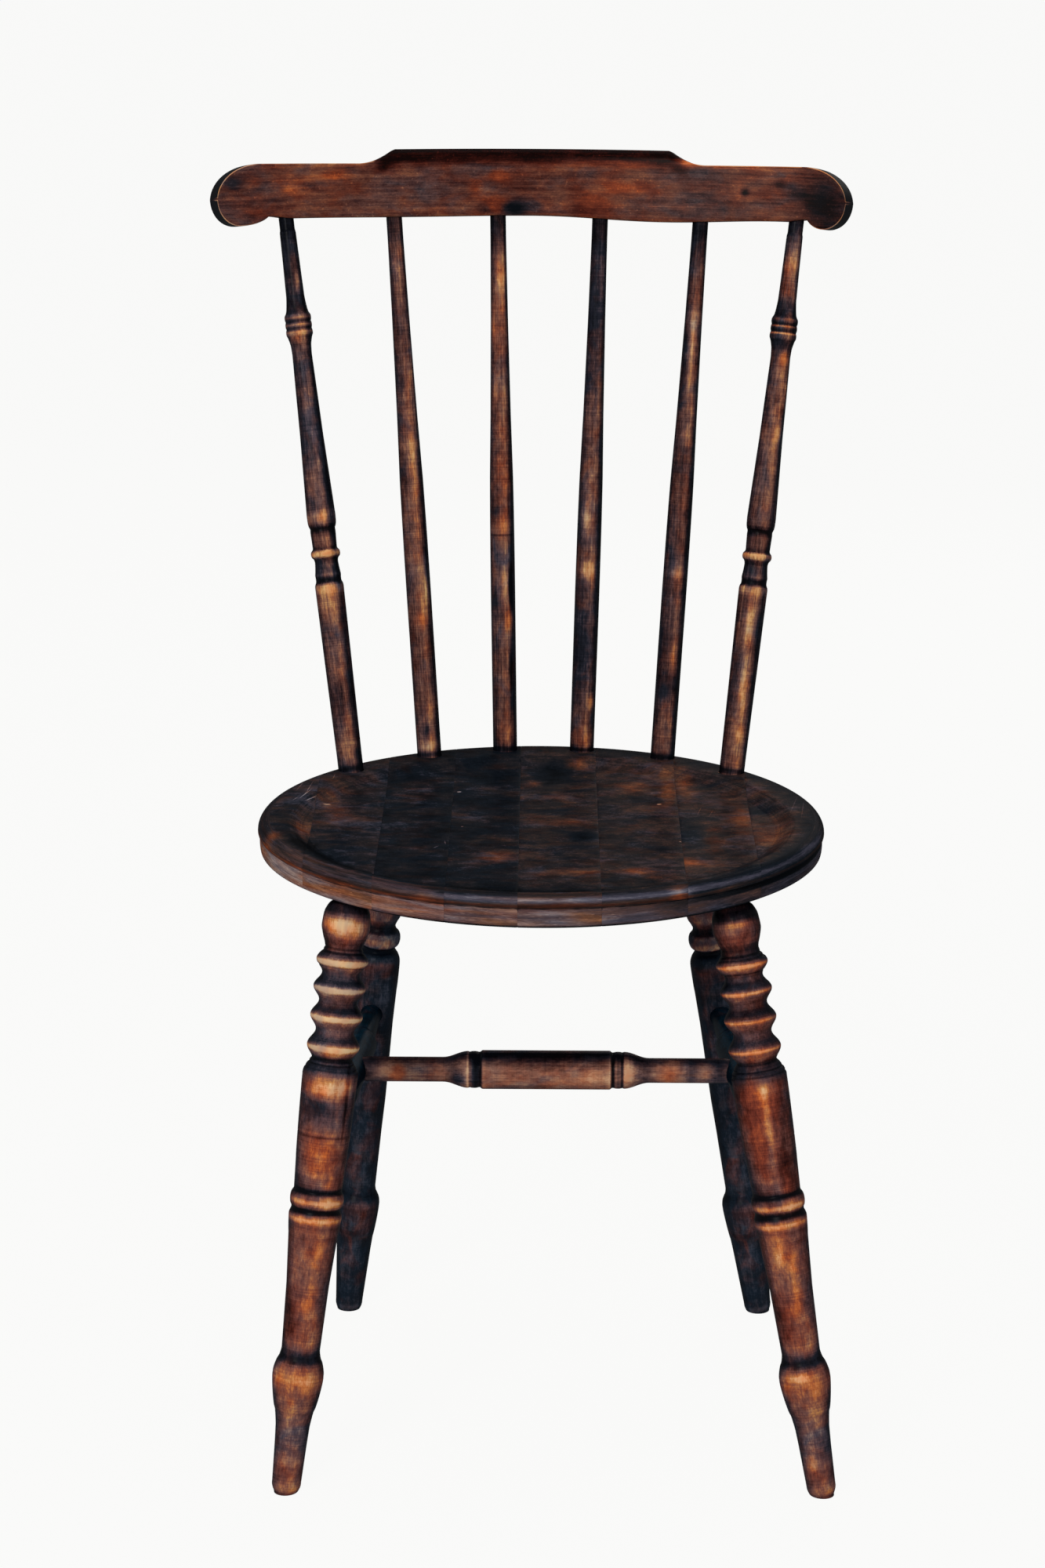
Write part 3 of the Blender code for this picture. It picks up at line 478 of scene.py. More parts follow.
# A mark is a soft spot in millimetres: along, across, half length, half width, wear and tint.
# More wear is paler and more tint is redder; less than nought is darker or colder.
# Hands rub the ridges pale, and the hollows are darker.
TREND_WIDTH = 0.002
RIDGE_HEIGHT = 0.0006
MOST_RIDGE = 1.2
RIDGE_WEAR = 0.42
HOLLOW_DARKENING = 0.34
FACING_DEPTH = 0.004
# The front and back are painted lighter, as wear and painted highlight; the sides are painted
# darker and bluer as painted shade
FRONT_WEAR_AND_HIGHLIGHT = 0.08
PAINTED_SIDE_SHADE = 0.28
PAINTED_SIDE_BLUE = 0.38


def write_marks(obj, own, wear_and_shading, tint):
    """Store a piece's own coordinates, its wear with painted light and shade in it, and how tinted
    each point is.
    """
    mesh = obj.data
    layer = mesh.attributes.new("own", "FLOAT_VECTOR", "POINT")
    layer.data.foreach_set("vector", own.astype(np.float32).ravel())
    for name, values in (("wear_and_shading", wear_and_shading), ("tint", tint)):
        layer = mesh.attributes.new(name, "FLOAT", "POINT")
        layer.data.foreach_set("value", values.astype(np.float32))
    if "turn_radius" in mesh.attributes:
        mesh.attributes.remove(mesh.attributes["turn_radius"])


def bands(centre, half, wear, tint):
    """A mark that runs all round a turning."""
    return (centre, 0, half, 0, wear, tint)


def summed_marks(along, across, facing, marks):
    """The sums of the marks' wear, painted highlights and shade among them, and of their tint. A
    half width of 0 is a band all round; the others show where the surface faces the front."""
    wear, tint = np.zeros(len(along)), np.zeros(len(along))
    for at, side, half_length, half_width, wear_and_shading, tinted in marks:
        bump = hump(along * MM, at, half_length)
        if half_width > 0:
            bump = bump * hump(across * MM, side, half_width) * facing
        wear += wear_and_shading * bump
        tint += tinted * bump
    return wear, tint


def with_places(places, look, wear_and_shading, tint):
    """The wear, with its painted light and shade, and tint plus those that a look gives each of the
    named places.
    """
    for place, (wear, tinted) in look.items():
        wear_and_shading = wear_and_shading + wear * places[place]
        tint = tint + tinted * places[place]
    return wear_and_shading, tint


def mark_turning(obj, matrix, heights, radii, base, marks=(), ridge=RIDGE_WEAR):
    """Wear on the ridges of a turning, darker hollows, a front and back painted lighter as wear and
    painted highlight, painted shade along its sides, and the spots seen on it."""
    inverse = np.array(matrix.inverted())
    own = points_of(obj) @ inverse[:3, :3].T + inverse[:3, 3]
    trend = smoothed(radii, TREND_WIDTH / (heights[1] - heights[0]))
    ridges = np.clip((radii - trend) / RIDGE_HEIGHT, -MOST_RIDGE, MOST_RIDGE)
    stands = np.interp(own[:, 2], heights, ridges)
    facing = rising(-own[:, 1], 0, FACING_DEPTH)
    across, deep = own[:, 0] ** 2, own[:, 1] ** 2
    side = (across / np.maximum(across + deep, ALMOST_NOUGHT)) ** 2
    wear_and_shading = base + ridge * np.maximum(stands, 0) - HOLLOW_DARKENING * np.maximum(-stands, 0)
    # Painted highlight with the wear on the front and back, painted shade on the sides
    wear_and_shading += FRONT_WEAR_AND_HIGHLIGHT * (1 - side) - PAINTED_SIDE_SHADE * side
    wear, tint = summed_marks(own[:, 2], own[:, 0], facing, marks)
    # The sides are painted colder as well, as painted shade
    write_marks(obj, own, wear_and_shading + wear, tint - PAINTED_SIDE_BLUE * side)


# Materials

# Scratches and nicks in each stave: right, back, turn, half sizes, how pale
SEAT_STROKES = (
    ((-168, 52, 74, 16, 0.5, 0.45), (-163, 46, 66, 14, 0.45, 0.45), (-172, 78, 80, 22, 0.4, 0.3),
     (-166, 70, 84, 26, 0.4, 0.28), (-174, 40, 70, 10, 0.4, 0.3)),
    ((-152, 46, 10, 3.5, 1.4, 0.5), (-150, 100, 86, 10, 0.4, 0.25)),
    ((-72, -58, 60, 5, 0.5, 0.4), (-66, -46, 95, 6, 0.5, 0.4)),
    ((-59, 84, 18, 2.2, 1.2, 0.8), (-55, -6, 30, 1.2, 1.2, 0.5), (-100, -94, 50, 1.4, 1.8, 0.8)),
    ((32, 126, 8, 2.0, 0.8, 0.4),),
    ((84, 54, 20, 2.4, 1.6, 0.7), (96, -42, 0, 0.9, 1.0, 0.6)),
    ((130, 117, -20, 2.2, 1.2, 0.6), (134, 115, 5, 2.4, 1.2, 0.7), (138, 118, 25, 1.8, 1.2, 0.6),
     (112, 36, 80, 14, 0.4, 0.25), (120, 30, 78, 12, 0.4, 0.22)),
    ((180, 40, 80, 40, 0.4, 0.2), (184, 20, 84, 36, 0.4, 0.2)))
# How far the stain of each stave and stick has gone blue-black
SEAT_BLUE = (0.35, 0.55, 0.85, 0.75, 0.30, 0.25, 0.20, 0.20)
STICK_BLUE = (0.20, 0.06, 0.12, 0.22, 0.26, 0.10)
# Where the stops of a stain lie along the wear, from dark to bare
WARM_STOPS = (0.0, 0.18, 0.36, 0.52, 0.68, 0.84, 1.0)
COLD_STOPS = (0.0, 0.35, 0.65, 1.0)
TURNING_COLOURS = ("0c0709", "281618", "4c2c28", "6e4540", "96604c", "cb8d54", "eac494")
STICK_COLOURS = ("0c0708", "261618", "4c302d", "6e4940", "966752", "c4905c", "e2ba84")
CROSS_COLOURS = ("0c0708", "261618", "4c302d", "6e4c42", "94695a", "b98a6c", "dcb692")
RAIL_COLOURS = ("0e0505", "2c1412", "4a2822", "633b30", "82503a", "aa6e44", "cf9866")
SEAT_COLOURS = ("0a0b0e", "1a1b1f", "2f2726", "4a352f", "6c4937", "966648", "c59a74")
# The cold stops also colour painted shade and sheen: the blue sides of every turning, the back legs
# and side stretchers all over, and the cool sheen along the seat's lip
TURNING_COLD = ("080a10", "22242e", "574a53", "b79c8c")
BACK_COLD = ("060c14", "1a2430", "464a58", "98948e")
SIDE_COLD = ("04101a", "0e2b3c", "34505e", "8a969a")
RAIL_COLD = ("060a10", "262127", "59484a", "a58a7c")
SEAT_COLD = ("060a0f", "171d25", "4c4a58", "a8a4aa")
RED_CAST = "ffc3ab"
# How strongly each pattern changes the wear, the cold places, the red ones, gloss and relief
MOTTLE_WEIGHT = 0.60
FLECK_WEIGHT = 0.30
COLD_WEIGHT = 3.2
RED_WEIGHT = 2.6
GLOSS_WEIGHT = 0.8
RELIEF = (("grain", 1.0), ("lines", 0.8), ("fleck", 0.35))
RELIEF_STRENGTH = 0.30
RELIEF_HEIGHT = 0.0006
# Sizes of some patterns as shares of the clouds, and of the pale specks in mm
MOTTLE_SHARE = 0.28
COLD_SHARE = 0.9
RED_SHARE = 0.5
SPECK_MM = 2.2
SPECK_LIMITS = (0.66, 0.74)
# Each pattern starts at a place of its own, by its number and its material's seed
SHIFT_STEP = 3.7
SHIFT_WAY = (1.0, 1.7, -0.6)
# A scratch is full up to this share of its half sizes
SCRATCH_CORE = 0.4
GLOSS_LIMITS = (0.1, 0.9)
# The varnish is rubbed so thin that little of it still shines
BARE_SPECULAR = 0.0
VARNISH_ROUGHNESS = 0.28


def linear(colour):
    """An sRGB hex colour as linear red, green, blue and alpha."""
    channels = [int(colour[i:i + 2], 16) / 255 for i in (0, 2, 4)]
    return [c / 12.92 if c <= 0.04045 else ((c + 0.055) / 1.055) ** 2.4 for c in channels] + [1]


def reckoned(tree, operation, *values, clamp=False):
    """The result of one sum over sockets and numbers."""
    return add_node(tree, "ShaderNodeMath", dict(enumerate(values)), operation=operation,
                    use_clamp=clamp).outputs[0]


def ranged(tree, value, start, end, low, high):
    """From low to high while the value runs from start to end."""
    return add_node(tree, "ShaderNodeMapRange", {
        "Value": value, "From Min": start, "From Max": end, "To Min": low,
        "To Max": high}).outputs["Result"]


def blended(tree, share, first, second, way="MIX"):
    """Two colours, which are inputs 6 and 7 of their node, mixed by a share."""
    return add_node(tree, "ShaderNodeMix", {0: share, 6: first, 7: second}, data_type="RGBA",
                    blend_type=way).outputs[2]


def scratched(tree, own, amount, strokes):
    """The wear with scratches and nicks: place, turn, half sizes in mm, and how pale they are."""
    for x, y, turn, half_length, half_width, lift in strokes:
        place = add_node(tree, "ShaderNodeMapping", {
            "Vector": own, "Location": (x / MM, y / MM, 0),
            "Rotation": (0, 0, math.radians(turn)),
            "Scale": (half_length / MM, half_width / MM, 1)}, vector_type="TEXTURE")
        reach = add_node(tree, "ShaderNodeVectorMath", {0: place.outputs[0]}, operation="LENGTH")
        mark = ranged(tree, reach.outputs["Value"], 1.0, SCRATCH_CORE, 0.0, lift)
        amount = reckoned(tree, "ADD", amount, mark)
    return amount


def pattern_fields(tree, own, seed, grain_mm, cloud_mm, fleck_mm, line_mm):
    """The patterns of the wood as noise over the piece's own coordinates."""
    # Size in mm, detail, roughness and distortion. Pores and tool lines are really 0.1 to 0.3 mm
    # wide, too fine to show, so flecks and lines are drawn three to eight times as coarse
    patterns = {
        "grain": (grain_mm, 6.0, 0.65, 0.0), "clouds": (cloud_mm, 3.0, 0.55, 0.6),
        "mottle": ([size * MOTTLE_SHARE for size in cloud_mm], 5.0, 0.70, 0.4),
        "fleck": (fleck_mm, 2.0, 0.55, 0.0), "lines": (line_mm, 3.0, 0.80, 0.0),
        "cold": ([size * COLD_SHARE for size in cloud_mm], 3.0, 0.55, 0.8),
        "red": ([size * RED_SHARE for size in cloud_mm], 3.0, 0.55, 0.0),
        "specks": ([SPECK_MM] * 3, 1.0, 0.50, 0.0)}
    field = {}
    for number, (pattern, (size_mm, detail, rough, distortion)) in enumerate(patterns.items()):
        shift = seed + SHIFT_STEP * number
        place = add_node(tree, "ShaderNodeMapping", {
            "Vector": own, "Location": [shift * way for way in SHIFT_WAY],
            "Scale": [MM / size for size in size_mm]})
        field[pattern] = add_node(tree, "ShaderNodeTexNoise", {
            "Vector": place.outputs[0], "Scale": 1.0, "Detail": detail, "Roughness": rough,
            "Distortion": distortion}).outputs["Fac"]
    return field


def summed(tree, field, total, *parts, offset=0, clamp=False):
    """The total plus an offset and each pattern, centred on nought, times its weight."""
    for pattern, weight in parts:
        total = reckoned(tree, "MULTIPLY_ADD", field[pattern], weight, total)
        offset -= weight / 2
    return reckoned(tree, "ADD", total, offset, clamp=clamp)


def stained(tree, amount, places, stain):
    """The stain's colour where the wood is worn by an amount."""
    ramp = add_node(tree, "ShaderNodeValToRGB", {"Fac": amount})
    elements = ramp.color_ramp.elements
    for _ in range(len(places) - 2):
        elements.new(0.5)
    for element, place, colour in zip(elements, places, stain):
        element.position = place
        element.color = linear(colour)
    return ramp.outputs["Color"]


def aged_wood(name, colours, cold, seed, grain_mm=(2.0, 2.0, 40), cloud_mm=(24, 24, 30),
              fleck_mm=(0.8, 0.8, 3.0), line_mm=(60, 60, 0.9), lined=0.22, streak=0.30, cloud=0.40,
              blue=0.30, red=0.25, roughness=(0.34, 0.55), shine=0.04, specks=0.0, strokes=()):
    """Old stained and varnished beech. The stain runs from near black through reddish brown to
    golden bare wood as the wear grows. colours are its stops where it is warm, cold the stops
    where the stain has gone blue-black, both from dark to bare."""
    material = bpy.data.materials.new(name)
    material.use_nodes = True
    tree = material.node_tree
    own, wear_and_shading, tint = [
        add_node(tree, "ShaderNodeAttribute", {}, attribute_name=layer).outputs[port]
        for layer, port in (("own", "Vector"), ("wear_and_shading", "Fac"), ("tint", "Fac"))]
    field = pattern_fields(tree, own, seed, grain_mm, cloud_mm, fleck_mm, line_mm)
    amount = summed(tree, field, wear_and_shading, ("grain", streak * 2), ("clouds", cloud * 2),
                    ("mottle", MOTTLE_WEIGHT), ("fleck", FLECK_WEIGHT), ("lines", lined))
    pale = ranged(tree, field["specks"], *SPECK_LIMITS, 0.0, specks)
    amount = scratched(tree, own, reckoned(tree, "ADD", amount, pale), strokes)
    warm_shade = stained(tree, amount, WARM_STOPS, colours)
    cold_shade = stained(tree, amount, COLD_STOPS, cold)
    cool = reckoned(tree, "MULTIPLY_ADD", tint, -1.0, blue)
    cool = summed(tree, field, cool, ("cold", COLD_WEIGHT), clamp=True)
    colour = blended(tree, cool, warm_shade, cold_shade)
    reddened = summed(tree, field, tint, ("red", RED_WEIGHT), offset=red, clamp=True)
    colour = blended(tree, reddened, colour, linear(RED_CAST), way="MULTIPLY")
    gloss = summed(tree, field, amount, ("mottle", GLOSS_WEIGHT))
    gloss = ranged(tree, gloss, *GLOSS_LIMITS, *roughness)
    bump = add_node(tree, "ShaderNodeBump", {
        "Height": summed(tree, field, 0.0, *RELIEF), "Strength": RELIEF_STRENGTH,
        "Distance": RELIEF_HEIGHT})
    inputs = tree.nodes["Principled BSDF"].inputs
    tree.links.new(colour, inputs["Base Color"])
    tree.links.new(gloss, inputs["Roughness"])
    tree.links.new(bump.outputs["Normal"], inputs["Normal"])
    inputs["Specular IOR Level"].default_value = BARE_SPECULAR
    inputs["Coat Weight"].default_value = shine
    inputs["Coat Roughness"].default_value = VARNISH_ROUGHNESS
    return material


def front_leg_wood():
    """Lathe-turned beech, stained, varnished and rubbed by shoes: golden brown clouds with fine
    lines round the leg and soft streaks along it."""
    return aged_wood("stained_turned_beech_front_leg", TURNING_COLOURS, TURNING_COLD, seed=1.0,
                     streak=0.19, lined=0.36, cloud=0.34, blue=0.12, red=0.35)


def back_leg_wood():
    """The same beech, painted dark all over as painted shade, with a painted blue sheen."""
    return aged_wood("stained_turned_beech_back_leg", TURNING_COLOURS, BACK_COLD, seed=11.0,
                     streak=0.22, cloud=0.30, blue=0.90, red=0.25)


def cross_stretcher_wood():
    """Lathe-turned beech with a worn stain: a dull pinkish brown, streaked along its length."""
    return aged_wood("stained_turned_beech_stretcher", CROSS_COLOURS, TURNING_COLD, seed=21.0,
                     streak=0.30, cloud=0.24, blue=0.14, red=0.26)


def side_stretcher_wood():
    """Lathe-turned beech, painted almost black as painted shade, with a painted blue-green sheen.
    """
    return aged_wood("stained_turned_beech_side_stretcher", TURNING_COLOURS, SIDE_COLD, seed=25.0,
                     streak=0.20, cloud=0.20, blue=1.10, red=0.05)


def stick_wood(index):
    """Lathe-turned beech worn by hands: short pale and dark streaks run along each stick, and
    fine turning lines cross them."""
    return aged_wood(f"stained_turned_beech_stick_{index + 1}", STICK_COLOURS, TURNING_COLD,
                     seed=31.0 + 2.3 * index, streak=0.42, cloud=0.26, lined=0.44,
                     blue=STICK_BLUE[index], red=0.20, grain_mm=(1.2, 1.2, 34),
                     cloud_mm=(16, 16, 26))


def rail_wood():
    """Bent and planed beech in a red stain: long grain along the rail, with soft dark clouds
    and a few pale specks where the stain has chipped."""
    return aged_wood("stained_bent_beech_rail", RAIL_COLOURS, RAIL_COLD, seed=51.0,
                     grain_mm=(50, 2.4, 2.4), cloud_mm=(34, 18, 16), fleck_mm=(1.6, 0.9, 0.9),
                     line_mm=(50, 0.9, 0.9), lined=0.44, streak=0.32, cloud=0.20, blue=0.14,
                     red=0.30, specks=0.16)


def seat_wood(index):
    """Beech staves glued up and turned as one board, sat on for years: nearly black with warm
    worn patches, a dull satin face and a few scratches. Each stave took the stain differently."""
    return aged_wood(f"stained_turned_beech_seat_{index + 1}", SEAT_COLOURS, SEAT_COLD,
                     seed=3.0 + 1.37 * index, grain_mm=(16, 3.6, 8), cloud_mm=(36, 24, 30),
                     fleck_mm=(1.6, 1.2, 0.8), line_mm=(40, 40, 0.7), lined=0.5, streak=0.08,
                     cloud=0.24, blue=SEAT_BLUE[index], red=0.10, roughness=(0.36, 0.52),
                     shine=0.015, specks=0.12, strokes=SEAT_STROKES[index])


# Seat

# How worn each stave is on top, and how warm its part of the rim is
STAVE_WEAR = (0.40, 0.34, 0.26, 0.27, 0.34, 0.36, 0.38, 0.38)
RIM_WARMTH = (0, 0, 0, 0, 0.35, 0.15, 0.10, 0)
# Spots on each stave: right of the seat's middle, towards its back, half sizes, wear, tint
# The cool pale spot at -171, 60 on the first stave and the small pale one at 108, 80 on the seventh
# are painted sheen
STAVE_SPOTS = (
    ((-171, 60, 9, 34, 0.06, -0.6), (-166, -30, 8, 26, 0.34, 0.4), (-172, -78, 12, 15, -0.3, 0),
     (-185, -56, 4, 9, 0.35, 0.8)),
    ((-148, 55, 10, 30, 0.22, 0.3), (-138, 10, 14, 18, 0.24, 0.3),
     (-135, -85, 24, 28, -0.06, -0.5)),
    ((-95, -10, 14, 22, 0.06, 0.2), (-92, 75, 12, 22, 0.14, 0.4), (-88, -100, 20, 14, -0.06, -0.3)),
    ((-32, -80, 14, 20, 0.32, 0.7), (-45, 20, 14, 24, 0.08, 0), (-40, 120, 16, 20, -0.08, -0.3)),
    ((10, 130, 12, 22, -0.40, -1.3), (-6, 108, 6, 9, 0.34, 0.6), (28, 152, 9, 9, 0.28, 0.4),
     (10, 70, 22, 8, 0.20, 0.3), (18, 8, 19, 12, 0.30, 0.5), (30, -30, 9, 12, -0.34, -1.2),
     (20, -118, 24, 8, 0.28, 0.5), (0, 35, 14, 8, -0.10, -0.3)),
    ((65, 99, 11, 13, 0.30, 0.4), (78, 128, 16, 14, 0.14, 0.1), (70, 40, 18, 14, 0.10, 0),
     (92, 92, 7, 44, 0.30, 0.4), (62, -116, 14, 8, 0.28, 0.6), (75, -20, 18, 24, 0.06, 0)),
    ((103, 104, 6, 30, 0.26, 0.4), (108, 80, 7, 7, 0.26, -0.1), (106, -20, 10, 36, -0.14, -0.5),
     (118, -43, 6, 40, 0.08, 0.9), (142, 14, 8, 38, 0.28, 0.4), (98, -95, 18, 10, 0.26, 0.5),
     (128, 60, 12, 9, 0.14, 0.1)),
    ((158, 36, 8, 8, -0.20, -0.8), (160, -26, 13, 30, 0.22, 0.5), (155, 80, 8, 14, 0.12, 0.1)))
# Spots on the rim's front: right of the middle, forward, half sizes, wear, tint
RIM_SPOTS = (
    (-80, -188, 8, 8, 0.42, 0.9), (92, -176, 7, 8, 0.34, 0.9), (-150, -118, 36, 50, 0.14, -0.1),
    (-105, -165, 34, 24, 0.10, 0.0), (-184, -56, 5, 10, 0.30, 0.9), (30, -190, 60, 20, 0.06, 0.1),
    (150, -120, 40, 50, -0.06, -0.3))
# Wear and tint of the places that seat_places names. The cove and the floor by it are darkened as
# painted shade. The lip has a cool painted sheen along its middle and is rubbed red along its lower
# edge. The tier is tan, darker along its foot, with painted shade in its quirk and, to the right, a
# painted shadow under the lip.
SEAT_LOOK = {
    "rim": (0.34, 0), "cove": (-0.34, 0), "cove and floor": (-0.20, 0), "painted sheen of lip": (0.46, -0.9),
    "middle of lip": (-0.18, 0), "left of lip": (0.03, 0.05), "edge of lip": (0.30, 0),
    "red edge of lip": (0, 0.8), "tier": (0.44, 0.04), "middle of tier": (-0.12, -0.24),
    "right of tier": (-0.20, -0.10), "quirk": (-0.30, 0), "foot of tier": (-0.16, 0),
    "painted shadow under lip": (-0.50, 0), "underside": (0.10, 0)}
# On the rim the stain of all the staves is equally blue, less the warmth of each
RIM_BLUE = 0.40
# Where those places begin and how far they take to fade in
FRONT_FADE = (0, 0.06)
RIM_FADE = (SEAT_CREST - 0.002, 0.002)
MIDDLE_FADE = (-0.13, 0.08)
RIGHT_FADE = (0.04, 0.08)
UNDER_LIP_FADE = (0.07, 0.08)
COVE_FADE = (0.17, -0.07)
LIP_START = SEAT_CREST - 0.001
LIP_END = -LIP_DROP - 0.0002
TIER_START = SEAT_RADIUS - 0.004
QUIRK_END = SEAT_RADIUS - TIER_INSET - 0.0004
TIER_FOOT = UNDER_EDGE_HEIGHT - SEAT_THICKNESS + 0.0012
UNDER_LIP_END = -LIP_DROP - 0.0050
UNDERSIDE = 0.002 - SEAT_THICKNESS
DISH_START = -0.0005
# Heights and half widths of the lip's cool painted sheen and of its rubbed lower edge
PAINTED_LIP_SHEEN = (-0.0032, 0.0024)
LIP_EDGE = (0.0008 - LIP_DROP, 0.0006)
RED_EDGE = (0.0014 - LIP_DROP, 0.0010)
# The painted shade of the cove: its place and half width at the sides, and how much more straight
# ahead
COVE_DARK = (0.001, 0.007)
COVE_DARK_AHEAD = (0.019, 0.003)
AHEAD_POWER = 4
# The rim's pattern is drawn longer round the seat and finer down the rim
RIM_STREAK = (0.4, 2.4)
RIM_PATTERN_START = 0.0005


def quirk_points(radius, height, corners):
    """The corners of a quirk that runs in and down from a radius and a height."""
    return [(radius - QUIRK_DEPTH * inwards, height - QUIRK_HEIGHT * down)
            for inwards, down in corners]


def seat_section():
    """The seat's rings from the dish's middle out, down over the rim and back under: radius,
    height above the crest, and how far forward the ring sits, since the dish sits forward."""
    floor = DISH_MOUTH - COVE_WIDTH
    tier = SEAT_RADIUS - TIER_INSET
    tier_top = -LIP_DROP - QUIRK_HEIGHT
    tier_bottom = UNDER_EDGE_HEIGHT - SEAT_THICKNESS
    under = SEAT_RADIUS - UNDER_EDGE_INSET
    dish = []
    for share in shares(DISH_RINGS):
        dish.append((floor * share, -DISH_DEPTH + (DISH_DEPTH - DISH_EDGE_DEPTH) * share ** 2))
    for share in shares(COVE_STEPS):
        dish.append((floor + COVE_WIDTH * share, -DISH_EDGE_DEPTH * ease(share)))
    rim = [(SEAT_CREST, 0)]
    for share in shares(LIP_STEPS):
        turn = math.pi / 2 * share
        rim.append((SEAT_CREST + CREST_INSET * math.sin(turn), -LIP_DROP * (1 - math.cos(turn))))
    rim += quirk_points(SEAT_RADIUS, -LIP_DROP, QUIRK_ABOVE)
    for share in shares(TIER_STEPS)[:-1]:
        height = tier_top + (tier_bottom - tier_top) * share
        rim.append((tier + TIER_SWELL * math.sin(math.pi * share), height))
    rim += quirk_points(tier, tier_bottom, QUIRK_BELOW)
    rim += [(under * share, -SEAT_THICKNESS) for share in reversed(shares(UNDER_RINGS))]
    return ([(radius, height, DISH_SHIFT) for radius, height in dish]
            + [(radius, height, 0) for radius, height in rim])


def whole_seat():
    """The seat board before it is parted into its staves."""
    shape = bmesh.new()
    rings = []
    for radius, height, shift in seat_section():
        ring = []
        for i in range(SEAT_SIDES):
            turn = 2 * math.pi * (i + 0.5) / SEAT_SIDES
            x = CENTRE.x + radius * math.cos(turn)
            y = CENTRE.y + radius * math.sin(turn) - shift
            ring.append(shape.verts.new((x, y, SEAT_HEIGHT + height)))
        rings.append(ring)
    skin(shape, rings)
    for ring, height, shift in ((rings[0], -DISH_DEPTH, DISH_SHIFT),
                                (rings[-1], -SEAT_THICKNESS, 0)):
        middle = shape.verts.new((CENTRE.x, CENTRE.y - shift, SEAT_HEIGHT + height))
        for i in range(SEAT_SIDES):
            shape.faces.new((ring[i - 1], ring[i], middle))
    bmesh.ops.recalc_face_normals(shape, faces=shape.faces)
    return shape


def stave_mesh(name, board, low, high):
    """One stave of the board between two seams, its seam edges a little sunk and rounded."""
    shape = board.copy()
    for place, side in ((low, -1), (high, 1)):
        if place is None:
            continue
        saw(shape, (place - side * SEAM_BEVEL, 0, 0), (side, 0, 0), clear=False)
        rim = saw(shape, (place, 0, 0), (side, 0, 0))
        shape.normal_update()
        for vert in {vert for edge in rim for vert in edge.verts}:
            vert.co -= Vector((0, vert.normal.y, vert.normal.z)) * SEAM_SINK
        bmesh.ops.contextual_create(shape, geom=rim)
    bmesh.ops.recalc_face_normals(shape, faces=shape.faces)
    return mesh_of(name, shape)


def near_pegs(pegs, low, high):
    """The pegs that reach between two seams."""
    near = []
    for cutter in pegs:
        across = [vertex.co.x for vertex in cutter.data.vertices]
        if (high is None or min(across) < high) and (low is None or max(across) > low):
            near.append(cutter)
    return near


def make_seat(pegs):
    """The staves, each cut from the turned board, bored and marked."""
    board = whole_seat()
    seams = [share * SEAT_RADIUS + CENTRE.x for share in SEAM_SHARES]
    lows = [None] + [seam + SEAM_GAP / 2 for seam in seams]
    highs = [seam - SEAM_GAP / 2 for seam in seams] + [None]
    for index, (low, high) in enumerate(zip(lows, highs)):
        node = f"seat_stave_{index + 1}"
        obj = plain_object("dressed_" + node, stave_mesh(node, board, low, high))
        bore(obj, near_pegs(pegs, low, high))
        own = points_of(obj) - np.array((CENTRE.x, CENTRE.y, SEAT_HEIGHT))
        wear_and_shading, tint = seat_marks(own, index)
        unroll_rim(own)
        write_marks(obj, own, wear_and_shading, tint)
        finish_piece(obj, node, seat_wood(index))
    board.free()


def seat_places(x, y, z):
    """How far each named place of the seat takes in each point, from 0 to 1."""
    radius, from_dish = np.hypot(x, y), np.hypot(x, y + DISH_SHIFT)
    front, middle = rising(-y, *FRONT_FADE), rising(x, *MIDDLE_FADE)
    rim = rising(radius, *RIM_FADE)
    lip = (radius > LIP_START) * (z > LIP_END)
    tier = (z < -LIP_DROP) * (radius > TIER_START)
    # Where the cove's painted shade falls: the front, off the lip and tier, fading out to the right
    dark = front * (1 - lip) * (1 - tier) * rising(x, *COVE_FADE)
    straight = np.clip(-(y + DISH_SHIFT) / np.maximum(from_dish, ALMOST_NOUGHT), 0, 1)
    ahead = straight ** AHEAD_POWER
    place, half = (side + more * ahead for side, more in zip(COVE_DARK, COVE_DARK_AHEAD))
    return {
        "rim": rim, "top": 1 - rim, "above tier": rim * (1 - tier),
        # Painted shade in the cove and on the floor by it, at the front
        "cove": hump(from_dish, DISH_MOUTH - place, half) * dark,
        "cove and floor": (z < DISH_START) * (from_dish > DISH_MOUTH - COVE_WIDTH) * dark,
        "painted sheen of lip": hump(z, *PAINTED_LIP_SHEEN) * lip * front * middle,
        "middle of lip": lip * middle, "left of lip": lip * front * (1 - middle),
        "edge of lip": hump(z, *LIP_EDGE) * lip, "red edge of lip": hump(z, *RED_EDGE) * lip,
        "tier": tier, "middle of tier": tier * middle,
        # Painted shade in the quirk, and to the right a painted shadow under the lip
        "right of tier": tier * rising(x, *RIGHT_FADE), "quirk": tier * (radius < QUIRK_END),
        "foot of tier": tier * (z < TIER_FOOT),
        "painted shadow under lip": tier * (z > UNDER_LIP_END) * rising(x, *UNDER_LIP_FADE),
        "underside": (z < UNDERSIDE) * (radius < TIER_START)}


def seat_marks(own, index):
    """Wear and tint of a stave: its own spots on top, the rim's spots, and the seat's places."""
    x, y, z = own.T
    places = seat_places(x, y, z)
    wear_and_shading = STAVE_WEAR[index] * places["top"]
    tint = (SEAT_BLUE[index] - RIM_BLUE + RIM_WARMTH[index]) * places["rim"]
    for place, marks in (("top", STAVE_SPOTS[index]), ("above tier", RIM_SPOTS)):
        wear, tinted = summed_marks(x, y, places[place], marks)
        wear_and_shading += wear
        tint += tinted
    return with_places(places, SEAT_LOOK, wear_and_shading, tint)


